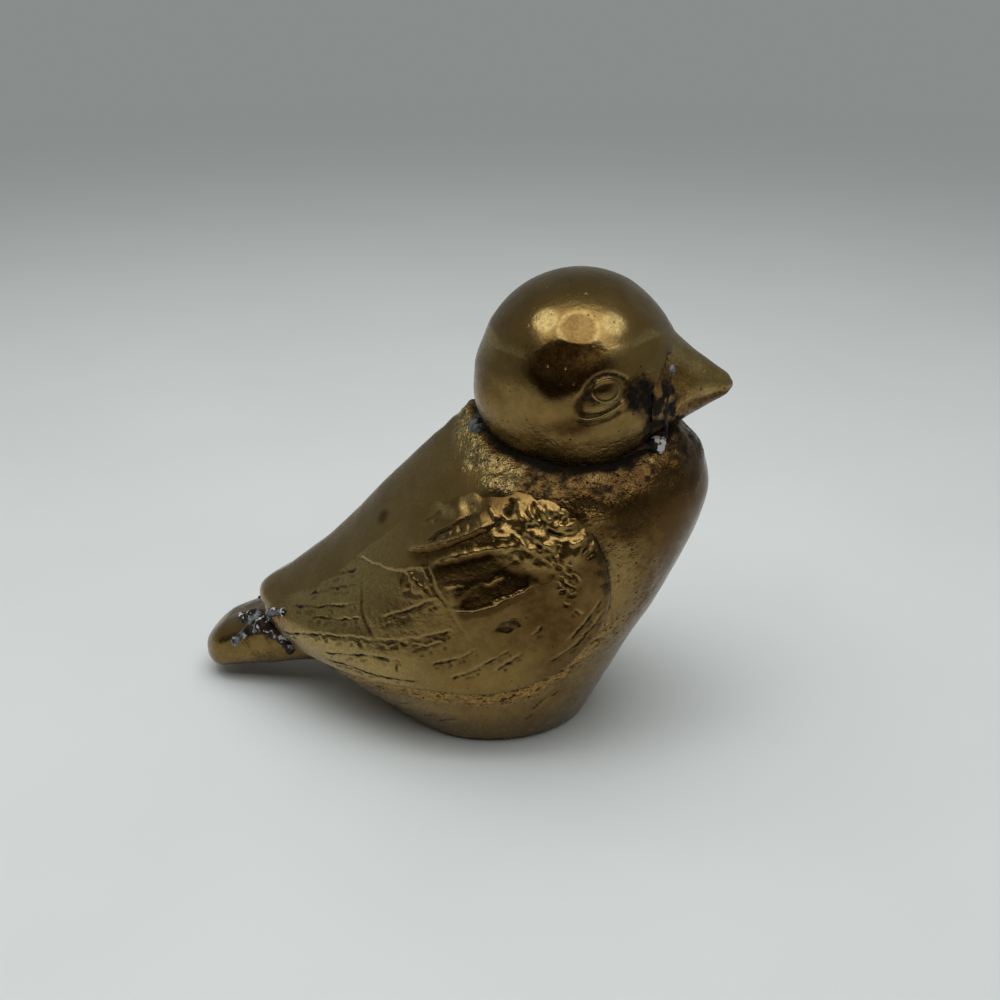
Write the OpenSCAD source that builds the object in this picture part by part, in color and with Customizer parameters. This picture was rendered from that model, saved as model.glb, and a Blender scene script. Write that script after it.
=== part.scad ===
// Brass songbird ornament: hollow body and head castings with a beak, wings and a tail soldered on.
// The bird looks along +X and stands on z = 0. Its right side is at -Y.

/* [Body] */
// How far the foot rim reaches behind the middle of the foot
foot_back = 22.5; // [18:0.5:27]
// How far the foot rim reaches in front of the middle of the foot
foot_front = 19.5; // [16:0.5:24]
// Width of the foot rim
foot_w = 38; // [32:0.5:44]
// How far the rump reaches behind the middle of the foot
rump_reach = 46; // [41:0.5:51]
// Height of the end of the rump
rump_z = 19; // [16:0.5:22]
// How far the breast reaches in front of the middle of the foot
breast_reach = 40; // [37:0.5:44]
// Height of the fullest point of the breast
breast_z = 46; // [42:0.5:50]
// Width over the flanks, without the wings
body_w = 50; // [45:0.5:56]
// Height of the widest point of the flanks
flank_z = 21; // [17:0.5:25]
// Width over the shoulders, at the height of the breast
shoulder_w = 42; // [38:0.5:46]
// Height of the nape and the throat, where the body ends
nape_z = 60; // [58:0.5:63]
// How far the nape lies behind the middle of the foot
nape_reach = 3.5; // [1:0.5:5]
// How far the throat lies in front of the middle of the foot
throat_reach = 34; // [32:0.5:36]
// Width of the body at the nape, inside the seat of the head
nape_w = 16; // [12:0.5:20]
// Wall of the body casting, square to its skin
body_wall = 3; // [2.4:0.1:4]

/* [Head] */
// Diameter of the ball head
head_d = 36; // [33:0.5:39]
// Distance of the head's centre in front of the middle of the foot
head_x = 16.2; // [15:0.2:18]
// Height of the head's centre
head_z = 67.5; // [66:0.5:69]
// Wall of the head casting
head_wall = 3; // [2.4:0.1:4]
// Diameter of the spigot below the head
spigot_d = 12; // [10:0.5:14]
// How far the spigot reaches past the floor of the cup
spigot_proud = 1.5; // [0.5:0.5:3]
// Diameter of the vent through the spigot
vent_d = 3; // [2:0.5:6]
// Diameter of an eye
eye_d = 5.4; // [4:0.2:6]
// How far an eye stands out of the head
eye_proud = 0.5; // [0.3:0.1:1]
// Angle of the eyes away from straight ahead
eye_turn = 71; // [60:1:80]
// Angle of the eyes above the head's centre
eye_rise = 9; // [4:1:14]

/* [Beak] */
// How far the tip of the beak lies in front of the head's centre
beak_reach = 26.8; // [24:0.2:30]
// Diameter of the beak where it meets the head
beak_root_d = 15.5; // [12:0.5:17]
// Diameter of the rounded tip
beak_tip_d = 3.2; // [1.6:0.2:4]
// How far the beak's axis lies below the head's centre
beak_drop = 1.2; // [0:0.1:2]

/* [Wings] */
// Thickness of a wing plate
wing_t = 1.5; // [1.2:0.1:2]
// Thickness of a wing plate towards its tip
wing_tip_t = 0.8; // [0.6:0.1:1.2]
// Thickness of a wing plate along its edges
wing_edge_t = 0.4; // [0.4:0.1:1]
// How far a feather row of a wing stands out along its lower edge
wing_row_rise = 0.9; // [0.3:0.1:1.1]
// Distance over which a wing falls off below the edge of a feather row
wing_row_fall = 1.4; // [1:0.1:1.8]
// How far the crumpled shoulder of a wing stands out
wing_swell = 0.45; // [0.2:0.05:0.6]
// Height of the middle of a wing's lower edge
wing_low_z = 14; // [13:0.5:17]
// Height of the top of a wing, behind the shoulder
wing_top_z = 51; // [48:0.5:52]
// How far a wing reaches in front of the middle of the foot, without its bow
wing_front = 24.6; // [22:0.2:26]
// How far the leading edge of a wing bows out at the shoulder
wing_bow = 2.8; // [1:0.2:4]
// How far the tip of a wing stops short of the end of the rump
wing_tip_short = 2; // [1.4:0.1:3]
// How far the top of a wing's tip lies below the end of the rump
wing_tip_drop = 0.8; // [0.4:0.1:1.2]

/* [Tail] */
// How far the tail reaches behind the middle of the foot
tail_reach = 58; // [54:0.5:62]
// Width of the tail at its root
tail_root_w = 19; // [16:0.5:22]
// Width of the tail just before its rounded end
tail_end_w = 13.6; // [11:0.2:16]
// Thickness of the tail at its root, inside the body
tail_root_t = 16.4; // [14:0.5:18]
// Thickness of the tail just before its rounded end
tail_end_t = 8.4; // [6:0.2:9]
// Height of the middle of the tail at its root
tail_root_z = 14.4; // [13.6:0.2:15.6]
// Height of the middle of the tail at its end
tail_end_z = 5.2; // [4.8:0.2:7]
// Length of the tail's rounded end
tail_round = 5; // [3:0.5:7]

/* [Solder] */
// Gap of the solder film between two castings
film = 0.2; // [0.15:0.05:0.3]
// How far the solder fillet of the neck stands out of the crease
neck_bead = 1.2; // [0.8:0.1:1.6]
// How far the solder fillet of the beak stands out of its root
beak_bead = 0.7; // [0.5:0.1:1]
// Diameter of the solder bead at the nape
nape_bead_d = 3.6; // [2.8:0.2:4.4]
// Diameter of the solder bead at the throat
throat_bead_d = 3; // [2.2:0.2:3.8]
// Diameter of the solder beads at the tail
tail_bead_d = 2.6; // [2.2:0.2:3.2]
// How far the solder beads at the tail run out from the notch below the wing tip
tail_bead_run = 4.5; // [3:0.5:6]

/* [Hidden] */
brass = "#8f6d33";
worn_brass = "#a27c3c";
dark_brass = "#6f5326";
solder_grey = "#77756d";

// Fineness of the free forms
body_rings = 30;
body_sides = 56;
hollow_rings = 20;
hollow_sides = 40;
wing_steps = 38;
wing_rows = 22;
tail_rings = 18;
tail_sides = 36;
tip_steps = 8;
tail_run_steps = 5;
wing_run_steps = 10;

// Fullness of the outlines: 2 is an ellipse, less is more pointed, more is squarer
front_power = 2.15;
back_power = 1.6;
tail_power = 2.8;

// Room that a cutting shape takes past the face that it cuts
past = 5;
// Step over which a slope is measured
slope_step = 0.5;

head_r = head_d / 2;
seat_r = head_r + film;
head_at = [head_x, 0, head_z];
cup_floor_z = head_z - seat_r - body_wall;
spigot_end_z = cup_floor_z - spigot_proud;
middle_x = (head_x + beak_reach - tail_reach) / 2;

// Places of the solder beads round the head, to the bird's right
nape_bead_turn = -163;
nape_bead_fall = 27;
throat_bead_turn = -36;
throat_bead_fall = 35;

// A value part of the way from one to another
function mix(from, to, share) = from + (to - from) * share;

// Smooth curve through points [place, value], with the slope at each point from its neighbours
function step_slope(line, i) = (line[i + 1][1] - line[i][1]) / (line[i + 1][0] - line[i][0]);
function point_slope(line, i) =
    let (last = len(line) - 1)
    i == 0 ? step_slope(line, 0)
    : i == last ? step_slope(line, last - 1)
    : (line[i + 1][1] - line[i - 1][1]) / (line[i + 1][0] - line[i - 1][0]);
function stretch_of(line, place) =
    max(0, min(len(line) - 2, len([for (point = line) if (point[0] <= place) 1]) - 1));
function along(line, place) =
    let (i = stretch_of(line, place),
        span = line[i + 1][0] - line[i][0],
        s = (place - line[i][0]) / span)
    line[i][1] * (2 * s * s * s - 3 * s * s + 1)
    + point_slope(line, i) * span * (s * s * s - 2 * s * s + s)
    + line[i + 1][1] * (3 * s * s - 2 * s * s * s)
    + point_slope(line, i + 1) * span * (s * s * s - s * s);

// Side view of the body: its back and its front, against height
back_line = [
    [0, -foot_back],
    [0.21 * rump_z, -mix(foot_back, rump_reach, 0.23)],
    [0.47 * rump_z, -mix(foot_back, rump_reach, 0.62)],
    [0.74 * rump_z, -mix(foot_back, rump_reach, 0.9)],
    [rump_z, -rump_reach],
    [mix(rump_z, nape_z, 0.12), -mix(rump_reach, nape_reach, 0.145)],
    [mix(rump_z, nape_z, 0.3), -mix(rump_reach, nape_reach, 0.35)],
    [mix(rump_z, nape_z, 0.66), -mix(rump_reach, nape_reach, 0.675)],
    [nape_z, -nape_reach]];
front_line = [
    [0, foot_front],
    [0.3 * breast_z, mix(foot_front, breast_reach, 0.32)],
    [0.65 * breast_z, mix(foot_front, breast_reach, 0.72)],
    [breast_z, breast_reach],
    [mix(breast_z, nape_z, 0.54), mix(breast_reach, throat_reach, 0.28)],
    [nape_z, throat_reach]];
// Half width of the body against height
width_line = [
    [0, foot_w / 2],
    [0.43 * flank_z, mix(foot_w, body_w, 0.75) / 2],
    [flank_z, body_w / 2],
    [mix(flank_z, breast_z, 0.6), mix(body_w, shoulder_w, 0.32) / 2],
    [breast_z, shoulder_w / 2],
    [mix(breast_z, nape_z, 0.32), mix(shoulder_w, nape_w, 0.16) / 2],
    [mix(breast_z, nape_z, 0.54), mix(shoulder_w, nape_w, 0.42) / 2],
    [nape_z, nape_w / 2]];
// Where the body is widest, as a share of the way from back to front
waist_line = [
    [0, 0.51],
    [0.2 * nape_z, 0.57],
    [0.4 * nape_z, 0.545],
    [0.65 * nape_z, 0.435],
    [nape_z, 0.45]];
// Height from which the body is drawn where only its neck matters
throat_z = mix(breast_z, nape_z, 0.3);

function back_x(z) = along(back_line, z);
function front_x(z) = along(front_line, z);
function half_w(z) = along(width_line, z);
function widest_x(z) = mix(back_x(z), front_x(z), along(waist_line, z));

// Power that keeps the sign, for outlines that run through all four quarters
function curl(value, power) = sign(value) * pow(abs(value), power);
function outline(turn, front, back, widest, half) =
    let (power = abs(turn) < 90 ? front_power : back_power,
        reach = abs(turn) < 90 ? front - widest : widest - back)
    [widest + reach * curl(cos(turn), 2 / power), half * curl(sin(turn), 2 / power)];
function turn_of(j, sides) = let (turn = 360 * j / sides) turn > 180 ? turn - 360 : turn;

// Point of the body's skin at a height and a turn from straight ahead, grown outwards
function skin(z, turn, grow = 0) =
    let (p = outline(turn, front_x(z) + grow, back_x(z) - grow, widest_x(z), half_w(z) + grow))
    [p[0], p[1], z];
function skin_normal(z, turn) =
    let (around = skin(z, turn + 1) - skin(z, turn - 1),
        up = skin(z + slope_step, turn) - skin(z - slope_step, turn),
        n = cross(around, up))
    n / norm(n);

// Wall of the casting measured level, so that it keeps its thickness square to a sloping skin
function level_wall(line, z) =
    let (slope = (along(line, z + slope_step) - along(line, z - slope_step)) / (2 * slope_step))
    body_wall * sqrt(1 + slope * slope);
function hollow_point(z, turn) =
    let (at = max(z, slope_step),
        front = front_x(at) - level_wall(front_line, at),
        back = back_x(at) + level_wall(back_line, at),
        p = outline(turn, front, back, widest_x(at), half_w(at) - level_wall(width_line, at)))
    [p[0], p[1], z];

// Closed solid through rings of points, all of one count, that run counterclockwise about the way up
module loft(rings) {
    count = len(rings[0]);
    last = len(rings) - 1;
    points = [for (ring = rings) each ring];
    sides = [for (i = [0 : last - 1], j = [0 : count - 1])
        let (k = (j + 1) % count, low = i * count, high = low + count)
        each [[low + j, high + j, high + k], [low + j, high + k, low + k]]];
    first_mid = len(points);
    caps = [for (j = [0 : count - 1])
        let (k = (j + 1) % count)
        each [[first_mid, j, k], [first_mid + 1, last * count + k, last * count + j]]];
    polyhedron(concat(points, [middle(rings[0]), middle(rings[last])]), concat(sides, caps), convexity = 6);
}
function middle(ring) = [for (axis = [0 : 2]) [for (p = ring) p[axis]] * [for (p = ring) 1] / len(ring)];

// Moves a piece so that the origin lies under the middle of the bird's whole length
module placed() {
    translate([-middle_x, 0, 0]) children();
}

// Ball about the head's centre
module head_ball(r) {
    translate(head_at) sphere(r);
}

// The body as a full form, without its hollow and its cup
module body_form(grow = 0, from = 0) {
    heights = [for (i = [0 : body_rings]) mix(from, nape_z, i / body_rings)];
    rings = [for (z = heights) [for (j = [0 : body_sides - 1]) skin(z, turn_of(j, body_sides), grow)]];
    loft(grow == 0 ? rings : concat(rings, [[for (p = rings[body_rings]) p + [0, 0, grow]]]));
}

module body_hollow() {
    ceiling = nape_z - 2 * body_wall;
    heights = [for (i = [0 : hollow_rings]) mix(-past, ceiling, i / hollow_rings)];
    difference() {
        loft([for (z = heights)
            [for (j = [0 : hollow_sides - 1]) hollow_point(z, turn_of(j, hollow_sides))]]);
        head_ball(seat_r + body_wall);
    }
}

module body_shell() {
    color(brass) placed() difference() {
        body_form();
        body_hollow();
        head_ball(seat_r);
        translate([head_x, 0, cup_floor_z - past]) cylinder(d = spigot_d + 2 * film, h = seat_r + past);
    }
}

module eye(side) {
    depth = 2 * eye_proud + head_wall / 2;
    translate(head_at) rotate([0, 0, side * eye_turn]) rotate([0, -eye_rise, 0])
        translate([head_r + eye_proud, 0, 0]) rotate([0, -90, 0]) cylinder(d = eye_d, h = depth);
}

module head_shell() {
    spigot_h = head_z - head_r + head_wall - spigot_end_z;
    color(worn_brass) placed() difference() {
        union() {
            head_ball(head_r);
            translate([head_x, 0, spigot_end_z]) cylinder(d = spigot_d, h = spigot_h);
            eye(1);
            eye(-1);
        }
        head_ball(head_r - head_wall);
        translate([head_x, 0, spigot_end_z - past]) cylinder(d = vent_d, h = spigot_h + 2 * past);
    }
}

// Cone about the beak's axis, from inside the head to its rounded tip
module beak_form(grow = 0) {
    tip_r = beak_tip_d / 2;
    tip_centre = beak_reach - tip_r;
    root_at = sqrt(head_r * head_r - beak_root_d * beak_root_d / 4);
    lean = atan2(beak_root_d / 2 - tip_r, tip_centre - root_at);
    base_r = beak_root_d / 2 + grow / cos(lean) + past * tan(lean);
    tip = [for (i = [0 : tip_steps])
        let (turn = mix(90 - lean, 0, i / tip_steps))
        [0, tip_centre] + (tip_r + grow) * [sin(turn), cos(turn)]];
    translate([head_x, 0, head_z - beak_drop]) rotate([0, 90, 0])
        rotate_extrude() polygon(concat([[0, root_at - past], [base_r, root_at - past]], tip));
}

module beak() {
    color(worn_brass) placed() difference() {
        beak_form();
        head_ball(seat_r);
        body_form(film, throat_z);
    }
}

// Edges of a wing in the side view, from the shoulder (0) to the tip (1): how far along the wing they lie,
// where the lower edge lies from the middle of that edge to the top, and the upper edge from tip to top
wing_low_line = [[0, 0.03], [0.12, 0.12], [0.3, 0.27], [0.5, 0.47], [0.7, 0.68], [0.85, 0.83], [1, 0.94]];
wing_low_share = [[0, 0.324], [0.12, 0.127], [0.3, 0.01], [0.5, 0], [0.7, -0.03], [0.85, -0.035], [1, -0.03]];
wing_top_line = [[0, 0.06], [0.12, 0.15], [0.3, 0.32], [0.5, 0.52], [0.7, 0.73], [0.85, 0.87], [1, 1]];
wing_top_share = [[0, 0.86], [0.12, 0.98], [0.3, 1], [0.5, 0.8], [0.7, 0.4], [0.85, 0.17], [1, 0]];
wing_tip_x = wing_tip_short - rump_reach;
wing_tip_z = rump_z - wing_tip_drop;
wing_bow_power = 8;
// Share of the way to the middle of the back at which a wing stops
wing_stop = 0.985;
// Share of a wing over which its edge thickens, and share of its depth over which its top fades out
wing_edge_share = 0.06;
wing_fade_share = 0.3;
// Feather rows: lower edge from back to front as places along and up the wing, share of the rise, and height
// of the row as a share of the wing's height
wing_feathers = [
    [[[0.51, 0.83], [0.415, 0.795], [0.275, 0.865]], 0.7, 0.07],
    [[[0.445, 0.715], [0.36, 0.74], [0.22, 0.77]], 1, 0.09],
    [[[0.4, 0.49], [0.31, 0.5], [0.175, 0.6]], 1, 0.135]];
// Share of a feather row over which it rises from either end
wing_row_end = 0.15;
// Crumpled shoulder: its middle as a place along and up the wing, its half length and half height as shares
// of the wing's height
wing_shoulder = [[0.165, 0.83], 0.26, 0.17];

// Turn from straight ahead of the point of the left flank that has this place in the side view
function flank_turn(x, z) =
    let (widest = widest_x(z),
        ahead = x > widest,
        share = ahead ? (x - widest) / (front_x(z) - widest) : (widest - x) / (widest - back_x(z)),
        turn = acos(pow(min(wing_stop, share), (ahead ? front_power : back_power) / 2)))
    ahead ? turn : 180 - turn;
function wing_place(u, v) =
    let (bow = wing_bow * pow(1 - u, wing_bow_power) * 4 * v * (1 - v),
        low_x = mix(wing_front, wing_tip_x, along(wing_low_line, u)),
        low_z = mix(wing_low_z, wing_top_z, along(wing_low_share, u)),
        top_x = mix(wing_front, wing_tip_x, along(wing_top_line, u)),
        top_z = mix(wing_tip_z, wing_top_z, along(wing_top_share, u)))
    mix([low_x, low_z], [top_x, top_z], v) + [bow, 0];
function wing_point(u, v, lift) =
    let (at = wing_place(u, v), turn = flank_turn(at[0], at[1]))
    skin(at[1], turn) + lift * skin_normal(at[1], turn);
function eased(share) = let (s = max(0, min(1, share))) s * s * (3 - 2 * s);
// How far a place in the side view lies above a straight run, and how far along that run
function run_gap(at, from, to) =
    let (way = to - from,
        share = max(0, min(1, (at - from) * way / (way * way))),
        off = at - mix(from, to, share))
    [norm(off) * (cross(way, off) < 0 ? -1 : 1), share];
// Share of the rise that a feather row has at a place in the side view
function row_rise(at, row) =
    let (edge = [for (p = row[0]) wing_place(p[0], p[1])],
        back = run_gap(at, edge[0], edge[1]),
        front = run_gap(at, edge[1], edge[2]),
        on_back = abs(back[0]) < abs(front[0]),
        above = on_back ? back[0] : front[0],
        share = (on_back ? back[1] : 1 + front[1]) / 2,
        ends = eased(share / wing_row_end) * eased((1 - share) / wing_row_end),
        height = row[2] * (wing_top_z - wing_low_z))
    row[1] * ends * (above > 0 ? max(0, 1 - above / height) : eased(1 + above / wing_row_fall));
// Share of the shoulder's swell at a place in the side view
function shoulder_share(at) =
    let (middle = wing_place(wing_shoulder[0][0], wing_shoulder[0][1]),
        off = (at - middle) / (wing_top_z - wing_low_z))
    eased(2 - 2 * norm([off[0] / wing_shoulder[1], off[1] / wing_shoulder[2]]));
function wing_relief(u, v) =
    let (at = wing_place(u, v),
        rises = [for (row = wing_feathers) row_rise(at, row)])
    wing_row_rise * (rises * [for (row = wing_feathers) 1]) + wing_swell * shoulder_share(at);
function wing_lift(u, v) =
    let (free = min(1, min([u, 1 - u, v]) / wing_edge_share),
        fade = min(1, (1 - v) / wing_fade_share),
        share = min(free * (2 - free), fade * fade * (3 - 2 * fade)),
        inner = min(1, min([u, 1 - u, v, 1 - v]) / wing_edge_share))
    film + mix(wing_edge_t, mix(wing_t, wing_tip_t, u * u), share) + inner * wing_relief(u, v);

// Left wing plate: its inner face follows the flank a solder film away
module wing_form(grow = 0) {
    places = [for (i = [0 : wing_steps], j = [0 : wing_rows]) [i / wing_steps, j / wing_rows]];
    outer = [for (p = places) wing_point(p[0], p[1], wing_lift(p[0], p[1]) + grow)];
    inner = [for (p = places) wing_point(p[0], p[1], film - grow)];
    n = wing_rows + 1;
    under = len(outer);
    faces = [for (i = [0 : wing_steps - 1], j = [0 : wing_rows - 1])
        let (a = i * n + j, b = a + 1, c = a + n + 1, d = a + n)
        each [[a, b, c], [a, c, d], [under + a, under + c, under + b], [under + a, under + d, under + c]]];
    low_rim = [for (i = [0 : wing_steps - 1]) let (a = i * n) each rim(a, a + n, under)];
    top_rim = [for (i = [0 : wing_steps - 1]) let (a = i * n + wing_rows) each rim(a + n, a, under)];
    front_rim = [for (j = [0 : wing_rows - 1]) each rim(j + 1, j, under)];
    tip_rim = [for (j = [0 : wing_rows - 1]) let (a = wing_steps * n + j) each rim(a, a + 1, under)];
    polyhedron(concat(outer, inner), concat(faces, low_rim, top_rim, front_rim, tip_rim), convexity = 6);
}
function rim(a, b, under) = [[a, b, under + b], [a, under + b, under + a]];

// Room that the left wing needs in the pieces beside it, also below its lower edge
module wing_room() {
    translate([0, 0, -film]) wing_form(2 * film);
}

module left_wing() {
    color(brass) placed() wing_form();
}

module right_wing() {
    mirror([0, 1, 0]) left_wing();
}

// Tail as a loft from its rounded end to a root inside the body
tail_root_x = -mix(foot_back, rump_reach, 0.3);
// Length by which the rounded end is cut square
tail_cut = 0.1;
function tail_open(x) =
    let (open = min(1, (x + tail_reach + tail_cut) / tail_round))
    sqrt(1 - (1 - open) * (1 - open));
function tail_point(x, turn, grow = 0) =
    let (share = (x + tail_reach) / (tail_root_x + tail_reach),
        half = mix(tail_end_w, tail_root_w, share) / 2 * tail_open(x) + grow,
        thick = mix(tail_end_t, tail_root_t, share) / 2 * tail_open(x) + grow,
        z = mix(tail_end_z, tail_root_z, share))
    [x, half * curl(cos(turn), 2 / tail_power), z + thick * curl(sin(turn), 2 / tail_power)];

module tail_form(grow = 0) {
    loft([for (i = [0 : tail_rings])
        let (x = mix(-tail_reach, tail_root_x, pow(i / tail_rings, 2)), back = i == 0 ? grow : 0)
        [for (j = [0 : tail_sides - 1]) tail_point(x, 360 * j / tail_sides, grow) - [back, 0, 0]]]);
}

module tail() {
    color(dark_brass) placed() difference() {
        tail_form();
        body_form(film);
        wing_room();
        mirror([0, 1, 0]) wing_room();
    }
}

// Bead of solder in the crease round the head, at a turn from straight ahead and a fall below its centre
module crease_bead(turn, fall, d) {
    translate(head_at) rotate([0, 0, turn]) rotate([0, fall, 0])
        translate([seat_r + d / 4, 0, 0]) sphere(d = d);
}

// Fillet of solder all round the neck, with a bead at the nape and one at the throat
module neck_solder() {
    color(solder_grey) placed() difference() {
        union() {
            intersection() {
                head_ball(seat_r + neck_bead);
                body_form(film + neck_bead, throat_z);
            }
            crease_bead(nape_bead_turn, nape_bead_fall, nape_bead_d);
            crease_bead(throat_bead_turn, throat_bead_fall, throat_bead_d);
        }
        head_ball(seat_r);
        body_form(film, throat_z - past);
        beak_form(beak_bead + 2 * film);
    }
}

module beak_solder() {
    color(solder_grey) placed() difference() {
        intersection() {
            head_ball(seat_r + beak_bead);
            beak_form(film + beak_bead);
        }
        head_ball(seat_r);
        beak_form(film);
        body_form(film, throat_z);
    }
}

// Runs of solder beads from the notch below the wing tip: over the tail, down its side, under the wing, up it
notch_turn = 55;
wing_run_from = [0.98, 0.15];
wing_run_to = [0.92, 0.5];
// Share of the run up the wing that bridges the notch
bridge_share = 0.4;
tail_runs = [[-1, 85], [-0.75, 20], [1, 15]];
function tail_run(run, share) =
    tail_point(run[0] * tail_bead_run * share - rump_reach, mix(notch_turn, run[1], share), film);
function wing_spot(share) =
    let (place = mix(wing_run_from, wing_run_to, share))
    wing_point(place[0], place[1], wing_lift(place[0], place[1]) + 2 * film);
function wing_run(share) =
    share < bridge_share ? mix(tail_run(tail_runs[0], 0), wing_spot(0), share / bridge_share)
    : wing_spot((share - bridge_share) / (1 - bridge_share));

// Bead of a run, smaller towards the run's end
module bead(at, share) {
    translate(at) sphere(d = tail_bead_d * mix(1.1, 0.8, share));
}

module left_tail_solder() {
    tail_shares = [for (i = [0 : tail_run_steps]) i / tail_run_steps];
    wing_shares = [for (i = [0 : wing_run_steps]) i / wing_run_steps];
    color(solder_grey) placed() difference() {
        union() {
            for (run = tail_runs, share = tail_shares) bead(tail_run(run, share), share);
            for (share = wing_shares) bead(wing_run(share), share);
        }
        tail_form(film);
        body_form(film);
        wing_room();
    }
}

module right_tail_solder() {
    mirror([0, 1, 0]) left_tail_solder();
}

body_shell();
head_shell();
beak();
right_wing();
left_wing();
tail();
neck_solder();
beak_solder();
right_tail_solder();
left_tail_solder();
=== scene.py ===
"""Looks of a small brass songbird ornament, modelled in detail round its fixed frame.

Lengths are in millimetres and angles in degrees. Pieces turn to metres when they are made.
The bird looks along +X and stands on z = 0. Its right side is at -Y.
"""

from types import SimpleNamespace

import bpy
import numpy as np
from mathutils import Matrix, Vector


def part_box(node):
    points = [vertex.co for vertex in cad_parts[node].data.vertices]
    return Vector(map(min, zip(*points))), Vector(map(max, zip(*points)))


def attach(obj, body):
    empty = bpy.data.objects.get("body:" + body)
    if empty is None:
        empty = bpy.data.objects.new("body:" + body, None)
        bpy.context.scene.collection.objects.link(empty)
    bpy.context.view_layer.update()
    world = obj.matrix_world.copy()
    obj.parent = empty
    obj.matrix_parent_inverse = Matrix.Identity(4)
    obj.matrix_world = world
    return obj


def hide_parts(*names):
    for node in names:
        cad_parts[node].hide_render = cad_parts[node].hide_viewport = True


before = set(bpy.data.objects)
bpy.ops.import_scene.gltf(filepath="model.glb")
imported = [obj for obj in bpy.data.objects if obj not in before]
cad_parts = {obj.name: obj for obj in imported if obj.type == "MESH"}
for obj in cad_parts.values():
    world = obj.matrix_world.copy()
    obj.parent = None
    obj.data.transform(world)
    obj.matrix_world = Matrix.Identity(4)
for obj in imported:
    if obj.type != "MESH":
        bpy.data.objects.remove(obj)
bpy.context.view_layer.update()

MM = 0.001


def node_box(name):
    """Lowest and highest corner of a CAD node, in millimetres."""
    low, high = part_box(name)
    return np.array(low) / MM, np.array(high) / MM


# Body, measured from the middle of its foot
FOOT_BACK = 22.5
FOOT_FRONT = 19.5
FOOT_W = 38.0
RUMP_REACH = 46.0
RUMP_Z = 19.0
BREAST_REACH = 40.0
BREAST_Z = 46.0
BODY_W = 50.0
FLANK_Z = 21.0
SHOULDER_W = 42.0
NAPE_Z = 60.0
NAPE_REACH = 3.5
THROAT_REACH = 34.0
NAPE_W = 16.0
BODY_WALL = 3.0
FOOT_ROUND = 1.2
FRONT_POWER = 2.15
BACK_POWER = 1.6

# Wings
WING_LOW_Z = 14.0
WING_TOP_Z = 51.0
WING_FRONT = 24.6
WING_BOW = 2.8
WING_BOW_POWER = 8
WING_TIP_X = -44.0
WING_TIP_Z = 18.2
WING_STOP = 0.985

# Tail
TAIL_REACH = 58.0
TAIL_ROOT_W = 19.0
TAIL_END_W = 13.6
TAIL_ROOT_T = 16.4
TAIL_END_T = 8.4
TAIL_ROOT_Z = 14.4
TAIL_END_Z = 5.2
TAIL_ROUND = 5.0
TAIL_POWER = 2.8

# Head, beak and spigot, from the frame
HEAD_LOW, HEAD_HIGH = node_box("head_shell")
HEAD_R = (HEAD_HIGH[0] - HEAD_LOW[0]) / 2
HEAD_AT = np.array([HEAD_LOW[0] + HEAD_R, 0.0, HEAD_HIGH[2] - HEAD_R])
SPIGOT_END = HEAD_AT[2] - HEAD_LOW[2]
SPIGOT_R = 6.0
SEAT_GAP = 0.2
SEAT_R = HEAD_R + SEAT_GAP
BEAK_TIP_X = node_box("beak")[1][0]
BEAK_ROOT_R = 7.75
BEAK_DROP = 1.2

# Place of the middle of the foot along the bird
FOOT_X = TAIL_REACH + node_box("tail")[0][0]


def mix(start, end, share):
    """A value part of the way from one to another."""
    return start + (end - start) * share


def smooth(value, low, high):
    """0 below low, 1 above high, and a soft step between them."""
    t = np.clip((value - low) / (high - low), 0, 1)
    return t * t * (3 - 2 * t)


def hump(value, width):
    """1 at zero, falling off over the width."""
    return np.exp(-((value / width) ** 2))


def cos(turn):
    return np.cos(np.radians(turn))


def sin(turn):
    return np.sin(np.radians(turn))


def along(line, place):
    """Smooth curve through points (place, value)."""
    x, y = np.asarray(line, float).T
    slope = np.empty_like(y)
    slope[1:-1] = (y[2:] - y[:-2]) / (x[2:] - x[:-2])
    slope[0] = (y[1] - y[0]) / (x[1] - x[0])
    slope[-1] = (y[-1] - y[-2]) / (x[-1] - x[-2])
    i = np.clip(np.searchsorted(x, place, side="right") - 1, 0, len(x) - 2)
    span = x[i + 1] - x[i]
    s = (place - x[i]) / span
    start = y[i] * (2 * s**3 - 3 * s**2 + 1) + slope[i] * span * (s**3 - 2 * s**2 + s)
    return start + y[i + 1] * (3 * s**2 - 2 * s**3) + slope[i + 1] * span * (s**3 - s**2)


def noise(points, size, seed):
    """Smooth noise from -1 to 1 whose bumps are about size across."""
    table = np.random.default_rng(seed).uniform(-1, 1, 4096)
    place = points / size
    cell = np.floor(place).astype(np.int64)
    t = place - cell
    t = t * t * (3 - 2 * t)
    total = 0
    for corner in np.ndindex(2, 2, 2):
        hashed = np.bitwise_xor.reduce((cell + corner) * (73856093, 19349663, 83492791), axis=-1)
        total = total + table[hashed & 4095] * np.prod(np.where(corner, t, 1 - t), axis=-1)
    return total


def uneven_skin(points):
    """Slow unevenness of the cast skin."""
    return 0.1 * noise(points, 9, 23) + 0.05 * noise(points, 3, 24)


def path_distance(place, path):
    """Distance of flat points from a path, the share of its length there, and the side: + is its left."""
    path = np.asarray(path, float)
    starts = np.concatenate([[0], np.cumsum(np.linalg.norm(np.diff(path, axis=0), axis=1))])
    distance = np.full(place.shape[:-1], np.inf)
    share = np.zeros_like(distance)
    side = np.zeros_like(distance)
    for a, b, start in zip(path[:-1], path[1:], starts):
        step = b - a
        t = np.clip((place - a) @ step / (step @ step), 0, 1)
        off = place - a - t[..., None] * step
        near = np.linalg.norm(off, axis=-1)
        closer = near < distance
        distance = np.where(closer, near, distance)
        share = np.where(closer, (start + t * np.linalg.norm(step)) / starts[-1], share)
        side = np.where(closer, np.sign(step[0] * off[..., 1] - step[1] * off[..., 0]), side)
    return distance, share, side


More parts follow.
